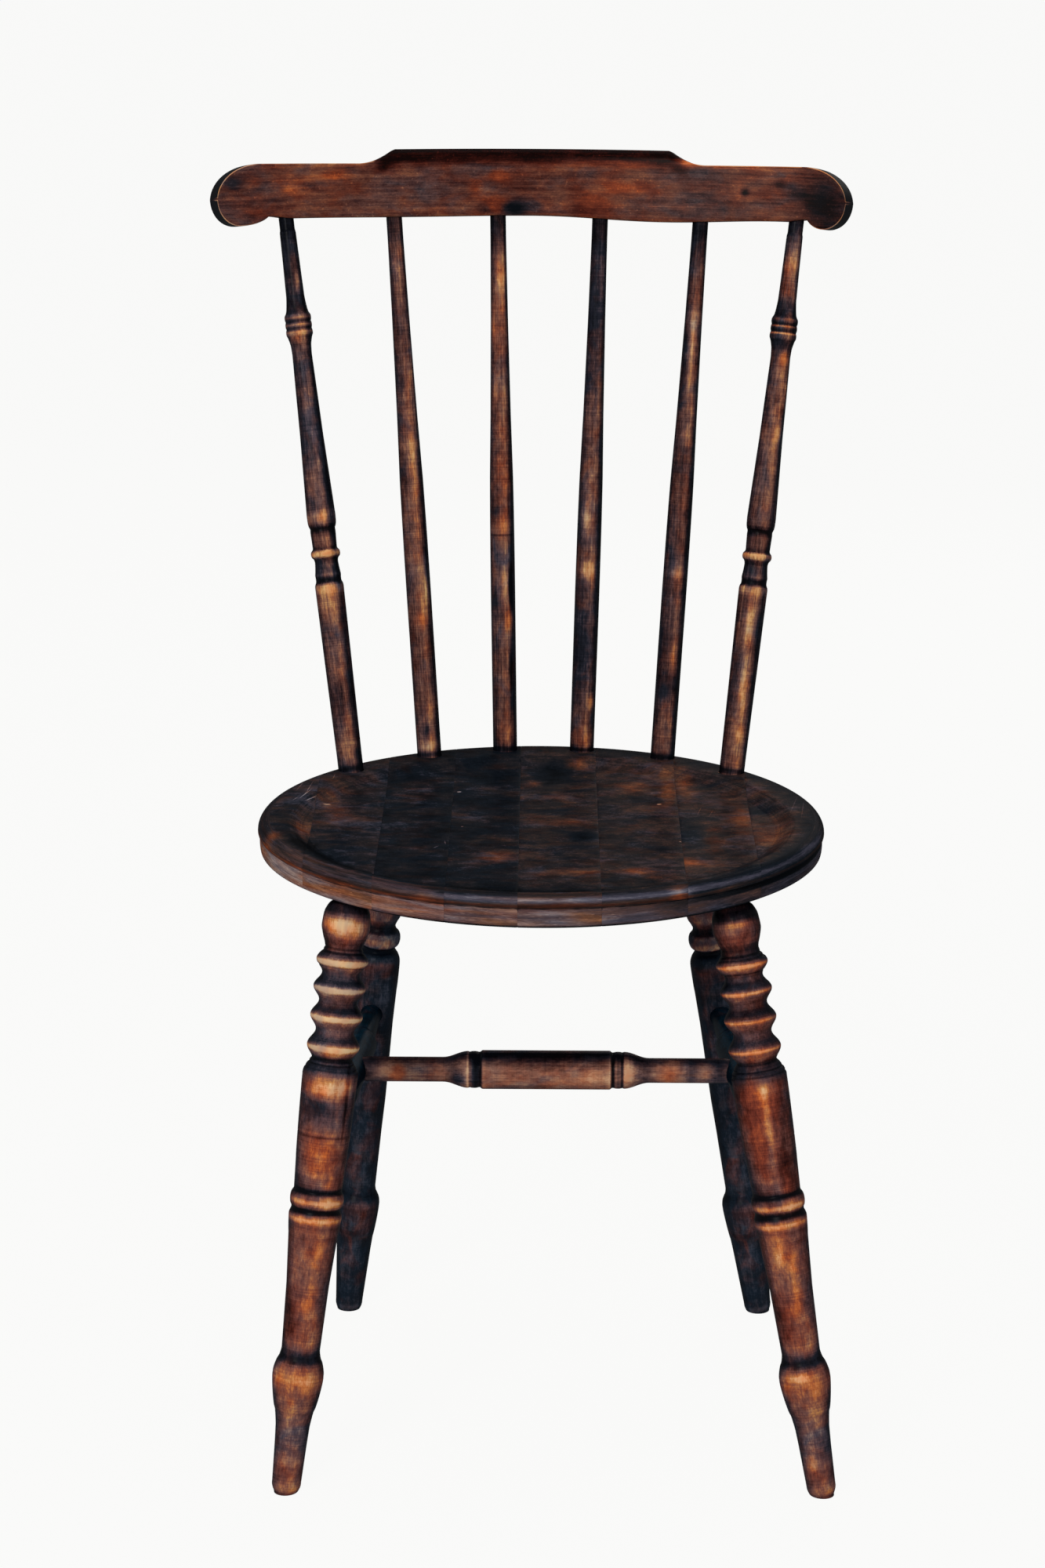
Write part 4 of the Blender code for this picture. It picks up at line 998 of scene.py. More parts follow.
def unroll_rim(own):
    """Let the pattern of the rim run round the seat in long streaks, as its turning marks do."""
    x, y, z = own.T
    beyond = np.hypot(x, y) - SEAT_CREST
    rim = beyond > RIM_PATTERN_START
    turn = np.arctan2(x, np.abs(y))
    own[rim, 0] = SEAT_RADIUS * turn[rim] * RIM_STREAK[0]
    own[rim, 1] = -SEAT_RADIUS
    own[rim, 2] = (z - beyond)[rim] * RIM_STREAK[1]


# Legs and stretchers

# Each ring's golden crest, then its dark upper slope, its cove's rubbed line and the dark below
# it: above the crest, half size, wear, tint
RING_CREST = {"left": (-0.3, 2.0, 0.56, -0.05), "right": (-0.3, 1.2, 0.36, 0.5)}
RING_SLOPES = ((4.6, 2.6, -0.26, -0.5), (-9.5, 2.6, 0.14, -0.35), (-14, 2.5, -0.04, -0.4))
# Bands round the front legs: height, half size, wear, tint
FRONT_LEG_MARKS = (
    bands(5, 6, 0.18, -0.1), bands(48, 24, -0.06, -0.50), bands(80.5, 7.0, 0.30, 0.35),
    bands(96, 4, -0.40, -0.6), bands(191.5, 2.4, 0.42, 0.3), bands(197.5, 1.8, -0.5, -0.5),
    bands(204, 2.5, 0.42, 0.3), bands(211.5, 1.8, -0.5, -0.5), bands(296, 5, -0.30, -0.6),
    bands(301, 2, -0.2, -0.3), bands(405, 6, -0.5, -0.4), bands(380, 4, -0.12, 0))
# Spots on the front legs: up the leg, right of its axis, half sizes, wear, tint
# The broad pale spots at 393 and 394 on the left leg's ball and the narrow pale streak at 258 up
# the right leg are painted highlights; the dark spots at 262 on the right leg's right side are
# painted shade
LEG_SPOTS = {
    "left": (
        (345, 0, 34, 26, 0.04, -0.35), (386, 0, 14, 22, 0.06, 0.1), (393, 0, 9, 26, 0.15, -0.1),
        (394, 2, 4.5, 17, 0.30, 0.1), (393, -11, 6, 5, 0.1, 0.6), (384, -14, 8, 6, -0.2, -0.3),
        (382, 4, 4, 12, -0.10, 0.3), (283, -3, 8, 15, 0.34, 0.3), (284, 12, 7, 4, 0.36, 0.1),
        (277, 12.5, 20, 0.7, -0.9, 0.8), (269, -3, 7, 14, -0.26, -0.4),
        (257, 0, 8, 20, -0.12, -0.5), (249, 0, 0.8, 20, -0.25, 0.2), (236, 2, 15, 11, 0.20, 0.6),
        (176, 6, 12, 5, 0.15, 0.2), (141, 3, 24, 5, 0.22, 0.2), (60, -3, 12, 4, 0.15, 0.3),
        (30, 5, 16, 4, 0.12, 0), (120, -8, 14, 5, -0.15, 0.3)),
    "right": (
        (110, 0, 80, 20, 0.08, 0), (262, -7, 34, 5, 0.04, 0.9), (262, 9, 34, 5, -0.12, 0.3),
        (83, 2, 6, 20, -0.18, 0), (86, -3, 3, 8, 0.46, 0.3), (399, 0, 3.0, 14, 0.36, 0.5),
        (388, -3, 6, 12, -0.1, 0.3), (286, 1, 5, 6, 0.26, 0.0), (275, 0, 18, 16, 0.05, 0.6),
        (258, 1.2, 30, 2.0, 0.24, -0.4), (262, 10, 14, 5, -0.12, -0.3),
        (225, 8, 14, 5, -0.10, 0.5), (176, -5, 12, 5, 0.34, 0.3), (150, 3, 22, 4, 0.28, 0.4),
        (125, -6, 14, 5, -0.1, 0.5), (60, 4, 14, 4, 0.18, 0.2), (28, -4, 14, 4, 0.15, 0.1))}
FRONT_LEG_WEAR = {"left": 0.50, "right": 0.45}
FRONT_RIDGE_WEAR = 0.14
BACK_LEG_MARKS = (
    bands(5, 6, 0.10, 0), bands(96, 4, -0.2, -0.3), bands(302, 3.5, 0.30, 0.2),
    bands(325, 8, 0.18, 0.1), bands(292, 4, -0.2, -0.4))
# The back legs are painted darker all over, as painted shade
BACK_LEG_WEAR_AND_SHADE = 0.32
# Fine lines cut into the front legs: height, depth and width
FINE_LINES = ((0.3743, 0.0005, 0.0006), (0.3770, 0.0004, 0.0006), (0.3645, 0.0004, 0.0006),
              (0.2980, 0.0006, 0.0006), (0.2945, 0.0005, 0.0006), (0.2500, 0.00015, 0.0004))
# Marks on the cross stretcher: right of its middle, above its axis, half sizes, wear, tint
CROSS_MARKS = (
    (-126, 0, 9, 14, -0.34, -0.8), (124, 0, 10, 14, -0.30, -0.8), (0, -13, 200, 5, -0.45, -0.3),
    (-105, 0, 5, 6, 0.10, 1.0), (-64, 0, 7, 14, -0.15, -0.5), bands(-55.3, 1.0, 0.26, 0.2),
    bands(-50, 2.6, -0.70, -1.2), bands(-46, 1.2, -0.4, -0.2), bands(47.3, 1.2, -0.5, -0.4),
    bands(51, 1.4, -0.28, -0.2), bands(53.7, 0.9, -0.4, -0.4), (58, -3, 3.6, 9, 0.34, 0.5),
    (-62, 5, 5, 7, -0.3, -0.9), (20, 2, 30, 3, 0.12, 0), (-20, 4, 20, 3, 0.10, 0.1),
    (70, 0, 6, 14, -0.10, -0.3), (87, 1, 7, 8, 0.12, 0.9), (103, 0, 4.5, 14, -0.18, -0.4),
    (114, -2, 4, 5, 0.15, 0.3))
CROSS_WEAR = 0.62
# The side stretchers are painted nearly black, as painted shade
SIDE_WEAR_AND_SHADE = 0.13


def leg_ends(end, side):
    """A leg's foot on the floor and its top under the seat."""
    socket_side, socket_reach, splay_side, splay_reach = LEG_PLACES[end]
    socket = CENTRE + Vector((side * socket_side * SEAT_RADIUS, socket_reach * SEAT_RADIUS, 0))
    foot = socket + Vector((side * splay_side + FEET_SIDE_SHIFT, splay_reach, 0))
    socket.z = SEAT_HEIGHT - SEAT_THICKNESS
    return foot, socket


def at_height(ends, height):
    """The place on a leg's axis at a height."""
    base, tip = ends
    return base.lerp(tip, (height - base.z) / (tip.z - base.z))


def side_ends(side):
    """Where a side stretcher's axis meets the axes of its front and back leg."""
    return [at_height(leg_ends(end, side), STRETCHER_HEIGHT) for end in LEG_PLACES]


def ring_height(length, turn):
    """Height of a stacked ring's crest; the rings stand closer towards the seat."""
    return RING_SHARE * length + turn * RING_PITCH - turn * (turn - 1) / 2 * RING_PITCH_DROP


def ring_marks(length, word):
    return tuple(bands(ring_height(length, turn) * MM + above, *look)
                 for turn in range(RING_COUNT)
                 for above, *look in (RING_CREST[word],) + RING_SLOPES)


def front_leg_points(length):
    """Foot, ankle, bead and shoulder, then the stacked rings, then the ball under the seat."""
    points = outline(FRONT_LEG_LOWER, length, FRONT_LEG_RADIUS)
    crest = RING_RADIUS_SHARE * FRONT_LEG_RADIUS
    last = (RING_COUNT - 1) * RING_STEPS + int(RING_STEPS * LAST_COVE_SHARE)
    for i in range(-RING_STEPS // 2, last):
        turn = i / RING_STEPS
        wave = 1 - ease(2 * turn)
        points.append((ring_height(length, turn), crest - turn * RING_TAPER - wave * COVE_DEPTH))
    height, radius = points[-1]
    stops = ((height / length, radius / FRONT_LEG_RADIUS, 0),) + FRONT_LEG_UPPER
    return points + outline(stops, length, FRONT_LEG_RADIUS)[1:]


def back_leg_points(length):
    return outline(BACK_LEG, length, BACK_LEG_RADIUS)


def make_leg(node, ends, points_for, inward, wood, seat_pegs, lines=(), **look):
    """A leg with its tenon and its socket for the side stretcher; it adds its seat peg."""
    base, tip = ends
    length = (tip - base).length
    points = points_for(length)
    # The leg is turned longer than it stands, and sawn level at the floor
    points = [(-SPARE_LENGTH, points[0][1])] + points
    points += [(length - LEG_NECK_LENGTH, LEG_TENON_RADIUS), (length, LEG_TENON_RADIUS),
               (length + LEG_TENON_DEPTH, LEG_TENON_END_RADIUS)]
    mouth = at_height(ends, STRETCHER_HEIGHT) - inward * FRONT_LEG_RADIUS
    socket = peg(node + "_bore", mouth, inward, FRONT_LEG_RADIUS - TENON_STOP, SIDE_END_RADIUS)
    make_turning(node, piece_matrix(base, tip), profile(points, lines), LEG_SIDES, wood,
                 pegs=[socket], floor=FLOOR_TOUCH, **look)
    seat_pegs.append(peg(node + "_seat_bore", tip, (tip - base).normalized(), LEG_TENON_DEPTH,
                         LEG_TENON_RADIUS, LEG_TENON_END_RADIUS))


def make_legs(seat_pegs):
    front_wood, back_wood = front_leg_wood(), back_leg_wood()
    for side, word in SIDES:
        front, back = side_ends(side)
        run = (back - front).normalized()
        ends = leg_ends("front", side)
        marks = FRONT_LEG_MARKS + LEG_SPOTS[word] + ring_marks((ends[1] - ends[0]).length, word)
        make_leg(f"leg_front_{word}", ends, front_leg_points, -run, front_wood, seat_pegs,
                 FINE_LINES, base=FRONT_LEG_WEAR[word], ridge=FRONT_RIDGE_WEAR, marks=marks)
        make_leg(f"leg_back_{word}", leg_ends("back", side), back_leg_points, run, back_wood,
                 seat_pegs, base=BACK_LEG_WEAR_AND_SHADE, marks=BACK_LEG_MARKS)


def side_profile(half):
    """A barrel between two soft flares, thinning to the tenon at each end."""
    barrel = SIDE_BARREL_LENGTH / 2
    bend = SIDE_BARREL_RADIUS - SIDE_NECK_RADIUS
    points = [(barrel * SIDE_FLAT_SHARE, SIDE_BARREL_RADIUS)]
    for i in range(FLARE_STEPS):
        share = (i + 1 / 2) / FLARE_STEPS
        points.append((barrel + SIDE_FLARE_LENGTH * (share - 1 / 2),
                       SIDE_NECK_RADIUS + bend * ease(share)))
    points += [(barrel + SIDE_FLARE_LENGTH, SIDE_NECK_RADIUS),
               (half - FRONT_LEG_RADIUS - OVERRUN, SIDE_END_RADIUS),
               (half - TENON_STOP, SIDE_END_RADIUS)]
    return profile(mirrored(points))


def cross_profile(half):
    """A long barrel with a groove, a bead and a flared lip at each end."""
    barrel = CROSS_BARREL_LENGTH / 2
    groove = CROSS_BARREL_RADIUS - CROSS_GROOVE_DEPTH
    bead = barrel + CROSS_GROOVE_WIDTH
    lip = bead + CROSS_BEAD_WIDTH + CROSS_GROOVE_WIDTH / 2
    points = [(barrel, CROSS_BARREL_RADIUS), (barrel + CROSS_GROOVE_WIDTH / 3, groove),
              (bead, groove)]
    for share in shares(BEAD_STEPS)[:-1]:
        points.append((bead + CROSS_BEAD_WIDTH * (1 - ease(share)),
                       groove + (CROSS_LIP_RADIUS - groove) * math.sin(math.pi * share)))
    points += [(bead + CROSS_BEAD_WIDTH, groove), (lip - CROSS_GROOVE_WIDTH / 4, groove),
               (lip, CROSS_LIP_RADIUS)]
    fall = CROSS_LIP_RADIUS - CROSS_END_RADIUS
    for share in shares(FLARE_STEPS):
        points.append((lip + CROSS_FLARE_LENGTH * share, CROSS_END_RADIUS + fall * ease(share)))
    points += [(half - SIDE_BARREL_RADIUS, CROSS_END_RADIUS),
               (half - TENON_STOP, CROSS_TENON_END_RADIUS)]
    return profile(mirrored(points), softness=CROSS_SOFTNESS)


def make_stretchers():
    cross_wood, dark_wood = cross_stretcher_wood(), side_stretcher_wood()
    left, right = (front.lerp(back, 0.5) for front, back in (side_ends(-1), side_ends(1)))
    across = (right - left).normalized()
    for (side, word), joint in zip(SIDES, (left, right)):
        node = f"side_stretcher_{word}"
        front, back = side_ends(side)
        inward = across * side
        socket = peg(node + "_bore", joint - inward * SIDE_BARREL_RADIUS, inward,
                     SIDE_BARREL_RADIUS - TENON_STOP, CROSS_END_RADIUS, CROSS_TENON_END_RADIUS)
        matrix = piece_matrix((front + back) / 2, back, back=Vector((0, 0, -1)))
        make_turning(node, matrix, side_profile((back - front).length / 2), SIDE_SIDES,
                     dark_wood, pegs=[socket], base=SIDE_WEAR_AND_SHADE)
    make_turning("cross_stretcher", piece_matrix((left + right) / 2, right),
                 cross_profile((right - left).length / 2), CROSS_SIDES, cross_wood,
                 marks=CROSS_MARKS, base=CROSS_WEAR)


# Sticks of the back

# Marks up a stick: height, right of its axis, half sizes, wear, tint. All the sticks get a painted
# highlight on the right of their front, and painted cold shade on their left and at their right
# edge
PAINTED_STICK_LIGHT = (
    (200, 2.8, 400, 1.8, 0.14, 0.1), (200, -4.2, 400, 2.6, -0.05, -0.2),
    (200, 7.5, 400, 1.8, -0.24, -0.5))
# The darker band round the foot of each stick and post is painted shade where it meets the seat
STICK_MARKS = (bands(1, 2.2, -0.45, -0.5), bands(388, 14, -0.30, -0.5)) + PAINTED_STICK_LIGHT
POST_MARKS = PAINTED_STICK_LIGHT + (
    bands(1, 2.2, -0.45, -0.5), bands(132, 3.5, 0.30, 0.1), bands(139, 2.2, -0.5, -0.5),
    bands(147, 6, -0.15, -0.5), bands(158, 1.7, 0.20, 0.5), bands(176, 3.5, -0.45, -0.3),
    bands(319, 1.0, 0.20, 0.4), bands(324, 1.0, 0.24, 0.4), bands(329, 1.0, 0.12, 0.3),
    bands(338, 6, -0.25, -0.2), bands(396, 12, -0.34, -0.6))
# Each stick's own spots, from left to right
STICK_SPOTS = (
    ((250, 0, 60, 12, -0.08, -0.5), (356, 3.5, 8, 2, 0.35, 0.4), (365, 0, 30, 12, -0.20, -0.6),
     (314, -2, 4, 5, 0.20, 0.8), (270, 0, 30, 3, 0.10, -0.1), (211, -4, 12, 4, 0.12, 0.6),
     (184.5, 0, 5, 16, 0.36, 0.3), (120, 0, 14, 8, 0.22, 0.2), (100, 2.6, 6, 2, -0.10, -0.9),
     (72, 0, 5, 6, 0.16, 0.2), (55, 0, 12, 9, -0.14, -0.2), (37, 3, 7, 3, 0.20, 0.1),
     (15, 0, 8, 9, 0.10, 0.1)),
    ((124, 6.3, 14, 2.0, 0.50, 0.2), (207, 2, 24, 3, 0.24, 0.1), (277, 6, 34, 1.6, 0.34, 0.2),
     (8, 0, 5, 9, 0.30, 0.1), (19, 0, 4, 2, -0.30, -0.6), (102, 1, 8, 5, 0.16, 0.3),
     (353, 0, 8, 2, 0.18, 0), (70, 0, 20, 9, -0.04, 0), (330, 0, 30, 9, -0.10, -0.2)),
    ((349, 1.5, 16, 3.2, 0.36, 0.3), (312, -4.5, 14, 2.5, 0.28, 0.5),
     (268, -4, 10, 2.5, 0.30, 0.4), (198, 0, 34, 9, 0.06, 0.6), (167, 0, 6, 9, 0.20, 0.5),
     (160, 0, 0.7, 10, -0.3, 0), (146, 0, 12, 9, 0.0, -0.5), (123, 1.6, 13, 2.6, 0.42, 0.1),
     (122, 5.6, 12, 1.1, -1.2, 0), (61, 5.0, 14, 0.9, -1.0, 0), (98, 5.0, 9, 3, 0.36, 0.8),
     (15, 0, 12, 8, 0.12, 0.5)),
    ((332, 0, 50, 9, -0.18, -0.8), (171, -2.8, 12, 3, 0.42, 0.3), (134, -1, 8, 5, 0.40, 0.3),
     (201, -1.5, 20, 2, 0.26, 0.1), (81, 0, 30, 9, -0.20, -0.7), (36, 5.5, 6, 2.5, 0.48, 0.7),
     (11, 0, 6, 9, 0.14, 0.6)),
    ((309, 0, 26, 2.2, 0.55, 0.1), (275, 0, 14, 2.2, 0.30, 0.1), (239, 0, 6, 3, 0.30, 0.1),
     (137, 1, 6, 6, 0.36, 0.2), (76, 2.5, 9, 2.5, 0.30, 0.7), (52, 0, 6, 9, -0.18, -0.6),
     (200, 0, 30, 9, -0.04, 0.1), (20, 0, 14, 9, 0.04, 0)),
    (bands(325, 9, -0.28, -0.4), bands(319.2, 0.9, 0.50, 0.6), bands(324.4, 0.9, 0.34, 0.5),
     (372, 1.5, 20, 3, 0.26, 0.2), (362, -3, 22, 2.5, 0.10, 0.6), (312, 0, 5, 9, -0.20, -0.2),
     (300, 2.4, 6, 4, 0.26, 0.8), (279, 6.5, 16, 2, 0.34, 0.7), (246, 4.3, 8, 2.5, 0.36, 0.4),
     (215, 0, 14, 6, 0.08, -0.3), (111, -1, 16, 2.4, 0.50, 0.1), (67, 0, 24, 2.6, 0.50, 0.1),
     (28, 1, 6, 3.5, 0.36, 0.2), (90, 0, 4, 9, -0.18, -0.2), (105, 6, 20, 3, -0.10, -0.5)))
STICK_WEAR = (0.39, 0.44, 0.40, 0.395, 0.345, 0.42)


def rail_point(along, up, out):
    """A place in the rail: along its curve, up its leaning face, and out towards its back."""
    angle = along / RAIL_BEND_RADIUS
    x = (RAIL_BEND_RADIUS + out) * math.sin(angle)
    y = (RAIL_BEND_RADIUS + out) * math.cos(angle) - RAIL_BEND_RADIUS
    lift = up * math.cos(RAIL_LEAN) - out * math.sin(RAIL_LEAN) * math.cos(angle)
    reach = RAIL_REACH + up * math.sin(RAIL_LEAN)
    return CENTRE + Vector((x + RAIL_SIDE_SHIFT, y + reach, SEAT_HEIGHT + BACK_HEIGHT + lift))


def stick_ends(index):
    """Where a stick leaves the seat and where it enters the rail."""
    angle, circle = STICK_ANGLES[index], SEAT_RADIUS - STICK_INSET
    base = CENTRE + Vector((circle * math.sin(angle), circle * math.cos(angle), SEAT_HEIGHT))
    return base, rail_point(STICK_RAIL_SHARES[index] * RAIL_HALF_LENGTH, 0, 0)


def post_stops():
    """A post's outline, with its row of equal beads."""
    stops = POST
    rise, *bead = POST_BEAD
    for _ in range(POST_BEAD_COUNT):
        stops += ((stops[-1][0] + rise, *bead),)
    return stops + POST_TOP


def make_sticks(seat_pegs, rail_pegs):
    for index, node in enumerate(STICK_NODES):
        base, tip = stick_ends(index)
        length = (tip - base).length
        direction = (tip - base).normalized()
        if node.startswith("spindle"):
            points, marks = outline(SPINDLE, length, SPINDLE_RADIUS), STICK_MARKS
        else:
            points, marks = outline(post_stops(), length, POST_RADIUS), POST_MARKS
        foot, head = points[0][1], points[-1][1]
        seat_pegs.append(peg(node + "_seat_bore", base, -direction, SEAT_SOCKET_DEPTH, foot))
        rail_pegs.append(peg(node + "_rail_bore", tip, direction, RAIL_SOCKET_DEPTH, head))
        points = [(-SEAT_SOCKET_DEPTH, foot)] + points + [(length + RAIL_SOCKET_DEPTH, head)]
        make_turning(node, piece_matrix(base, tip), profile(points, softness=STICK_SOFTNESS),
                     STICK_SIDES, stick_wood(index), marks=marks + STICK_SPOTS[index],
                     base=STICK_WEAR[index])


# Top rail

# Spots on the rail's face: right of its middle, above its lower edge, half sizes, wear, tint
RAIL_SPOTS = (
    (74, 39, 16, 3, 0.30, 0.6), (40, 39, 16, 3, 0.14, 0.4), (113, 41, 8, 3, 0.80, 0.4),
    (-24, 30, 8, 4, 0.20, 0.9), (-42, 22, 5, 4, 0.14, 0.7), (-27, 9, 9, 7, 0.16, 1.0),
    (-40, 3, 5, 6, 0.0, 0.7), (65, 23, 18, 5, 0.16, 0.9), (45, 12, 14, 8, 0.02, 0.6),
    (-12, 6, 9, 4.5, -0.60, -1.6), (-35, 6, 5, 3, -0.28, -0.8), (3, 8, 5, 4, -0.18, -0.6),
    (36, 5, 11, 5, -0.22, 0.9), (-222, 28, 8, 5, -0.22, -1.0), (-161, 30, 17, 3.5, 0.24, 0.6),
    (-177, 21, 10, 3, 0.22, 0.3), (-140, 31, 10, 3, 0.14, 0.3), (-100, 24, 20, 9, 0.03, -0.5),
    (-70, 16, 14, 6, 0.06, -0.2), (158, 21, 6.5, 6.5, 0.20, 0.6), (158, 21, 3, 3, -0.80, -0.9),
    (184, 28, 4, 3, -0.38, -0.2), (201, 21, 5, 3, -0.30, -0.1), (217, 14, 18, 24, -0.50, -0.4),
    (130, 10, 30, 10, -0.06, -0.1), (-205, 5, 12, 8, -0.06, 0.2),
    (158, 38.2, 42, 1.2, 0.36, 0.5), (-160, 38.0, 36, 1.0, 0.14, 0.3))
# Wear and tint of the places that rail_places names: a dark crest, black end grain at the ears,
# and pale rubbed front edges
RAIL_LOOK = {
    "crest": (-0.46, 0.9), "end grain": (-0.60, -0.9), "edge of ear": (0.90, 0),
    "lower edge": (0.16, 0), "edge of right wing": (0.80, 0), "edge of left wing": (0.36, 0)}
RAIL_WEAR = 0.48
# Where those places begin and how far they take to fade in
CREST_FADE = (CREST_LENGTH / 2 + SLOPE_LENGTH * 0.6, -0.008)
CREST_LOW_FADE = (-CREST_ROLL_HEIGHT - 0.004, 0.007)
WING_END = 0.2
EAR_FADE = (WING_END, 0.01)
END_FADE = (EAR_TOP_START - 0.012, 0.012)
FRONT_EDGE = (0.0001 - RAIL_THICKNESS / 2, 0.0010 - RAIL_THICKNESS / 2)
END_START = 0.0014 - RAIL_THICKNESS / 2
LOWER_EDGE = 0.004
UPPER_EDGE = 0.0022
WING_START = CREST_LENGTH / 2 + SLOPE_LENGTH * 0.5


def rail_notch(side):
    """How far out the notch in the lower edge is; the two ends differ a little."""
    return EAR_TOP_START - NOTCH_INSET + side * NOTCH_SIDE_SHIFT


def rail_low(along):
    """Height of the lower edge: a slack line, a small notch, and the ear's rounded drop."""
    side, place = (1 if along >= 0 else -1), abs(along)
    notch, lobe = rail_notch(side), RAIL_HALF_LENGTH - EAR_BOTTOM_LENGTH
    if place <= notch - NOTCH_LENGTH:
        sag = SAG_RIGHT if side > 0 else SAG_LEFT
        return -sag * math.sin(math.pi * place / (notch - NOTCH_LENGTH)) ** 2
    if place <= notch:
        share = (place - notch + NOTCH_LENGTH) / NOTCH_LENGTH
        return NOTCH_RISE * (1 - ease(share))
    if place <= lobe:
        share = (place - notch) / (lobe - notch)
        fullness = (1 - (1 - share) ** 2) ** NOTCH_FULLNESS_SHARE
        return NOTCH_RISE - (NOTCH_RISE + EAR_DROP) * fullness
    reach = min((place - lobe) / EAR_BOTTOM_LENGTH, 1)
    return EAR_NOSE_HEIGHT - (EAR_NOSE_HEIGHT + EAR_DROP) * math.sqrt(1 - reach ** 2)


def rail_high(along):
    """Height of the upper edge: the raised crest, a hollow slope, the wing and the ear."""
    place = abs(along)
    crest = CREST_LENGTH / 2
    if place <= crest:
        return CREST_HEIGHT
    wing = crest + SLOPE_LENGTH
    if place <= wing:
        share = (place - crest) / SLOPE_LENGTH
        return WING_INNER_HEIGHT + (CREST_HEIGHT - WING_INNER_HEIGHT) * (1 - share) ** 2
    if place <= EAR_TOP_START:
        share = (place - wing) / (EAR_TOP_START - wing)
        return WING_INNER_HEIGHT + (WING_OUTER_HEIGHT - WING_INNER_HEIGHT) * share
    reach = min((place - EAR_TOP_START) / EAR_TOP_LENGTH, 1)
    return EAR_NOSE_HEIGHT + (WING_OUTER_HEIGHT - EAR_NOSE_HEIGHT) * math.sqrt(1 - reach ** 2)


def divided(start, end, steps):
    """The places that divide the way between two points, without the points themselves."""
    return [(start[0] + (end[0] - start[0]) * share, start[1] + (end[1] - start[1]) * share)
            for share in shares(steps)[:-1]]


def rail_section(along):
    """The closed section (out, up) at a station, its corners rounded and its faces divided."""
    low, high = rail_low(along), rail_high(along)
    edge = min(RAIL_EDGE, (high - low) / CORNER_ROOM)
    past = (abs(along) - CREST_LENGTH / 2) / (SLOPE_LENGTH / 2)
    roll = max(0, 1 - max(0, past))
    roll_depth = edge + (CREST_ROLL_DEPTH - RAIL_EDGE) * roll
    roll_height = edge + (CREST_ROLL_HEIGHT - RAIL_EDGE) * roll
    half = RAIL_THICKNESS / 2
    # From the front's lower corner round its upper one to the back: out, up, half sizes, start
    corners = ((-half + edge, low + edge, edge, edge, 270),
               (-half + roll_depth, high - roll_height, roll_depth, roll_height, 180),
               (half - edge, high - edge, edge, edge, 90),
               (half - edge, low + edge, edge, edge, 360))
    section = []
    for number, (out, up, depth, height, start) in enumerate(corners):
        arc = []
        for share in [0] + shares(CORNER_STEPS):
            turn = math.radians(start - 90 * share)
            arc.append((out + depth * math.cos(turn), up + height * math.sin(turn)))
        if section:
            steps = RAIL_FACE_STEPS if number in (1, 3) else RAIL_EDGE_STEPS
            section += divided(section[-1], arc[0], steps)
        section += arc
    return section + divided(section[-1], section[0], RAIL_EDGE_STEPS)


def rail_stations():
    """Places along the rail, evenly spaced between the ears and closer towards their noses."""
    count = int(2 * EAR_TOP_START / RAIL_STATION_STEP)
    stations = [-EAR_TOP_START + 2 * EAR_TOP_START * i / count for i in range(count + 1)]
    for share in shares(EAR_STEPS):
        reach = EAR_TOP_LENGTH * math.sin(EAR_TURN * share)
        stations += [EAR_TOP_START + reach, -EAR_TOP_START - reach]
    return sorted(stations)


def make_rail(pegs):
    """The bent board, skinned over its sections, bored and marked."""
    shape = bmesh.new()
    rings = [[shape.verts.new(rail_point(along, up, out)) for out, up in rail_section(along)]
             for along in rail_stations()]
    skin(shape, rings)
    shape.faces.new(rings[0])
    shape.faces.new(rings[-1])
    bmesh.ops.recalc_face_normals(shape, faces=shape.faces)
    obj = plain_object("dressed_top_rail", mesh_of("top_rail", shape))
    bore(obj, pegs)
    x, y, z = (points_of(obj) - np.array(rail_point(0, 0, 0))).T
    up = z / math.cos(RAIL_LEAN)
    back = y - up * math.sin(RAIL_LEAN) + RAIL_BEND_RADIUS
    along = np.arctan2(x, back) * RAIL_BEND_RADIUS
    out = np.hypot(x, back) - RAIL_BEND_RADIUS
    write_marks(obj, np.stack([along, out, up], axis=1), *rail_marks(along, out, up))
    finish_piece(obj, "top_rail", rail_wood())


def rail_places(along, out, up):
    """How far each named place of the rail takes in each point, from 0 to 1."""
    place = np.abs(along)
    above = up - np.array([rail_high(value) for value in along])
    ear = rising(place, *EAR_FADE)
    edge = (out > FRONT_EDGE[0]) * (out < FRONT_EDGE[1])
    wing = edge * (above > -UPPER_EDGE) * (place > WING_START) * (place < WING_END)
    return {
        "crest": rising(place, *CREST_FADE) * rising(above, *CREST_LOW_FADE),
        "end grain": ear * (out > END_START) * rising(place, *END_FADE),
        "edge of ear": edge * ear, "lower edge": edge * (up < LOWER_EDGE) * (place < WING_END),
        "edge of right wing": wing * (along > 0), "edge of left wing": wing * (along <= 0)}


def rail_marks(along, out, up):
    """Wear and tint of the rail: the spots on its face and its places."""
    wear, tint = summed_marks(along, up, rising(-out, 0, FACING_DEPTH), RAIL_SPOTS)
    return with_places(rail_places(along, out, up), RAIL_LOOK, RAIL_WEAR + wear, tint)


# Stage, lights and camera

PAPER_WHITE = "fdfdfc"
PAPER_SHADE = "bcbcbc"
PAPER_ROUGHNESS = 0.9
PAPER_SPECULAR = 0.1
PAPER_GLOW = 0.955
STUDIO_GLOW = 0.22
FLOOR_RADIUS = 30
FLOOR_SIDES = 96
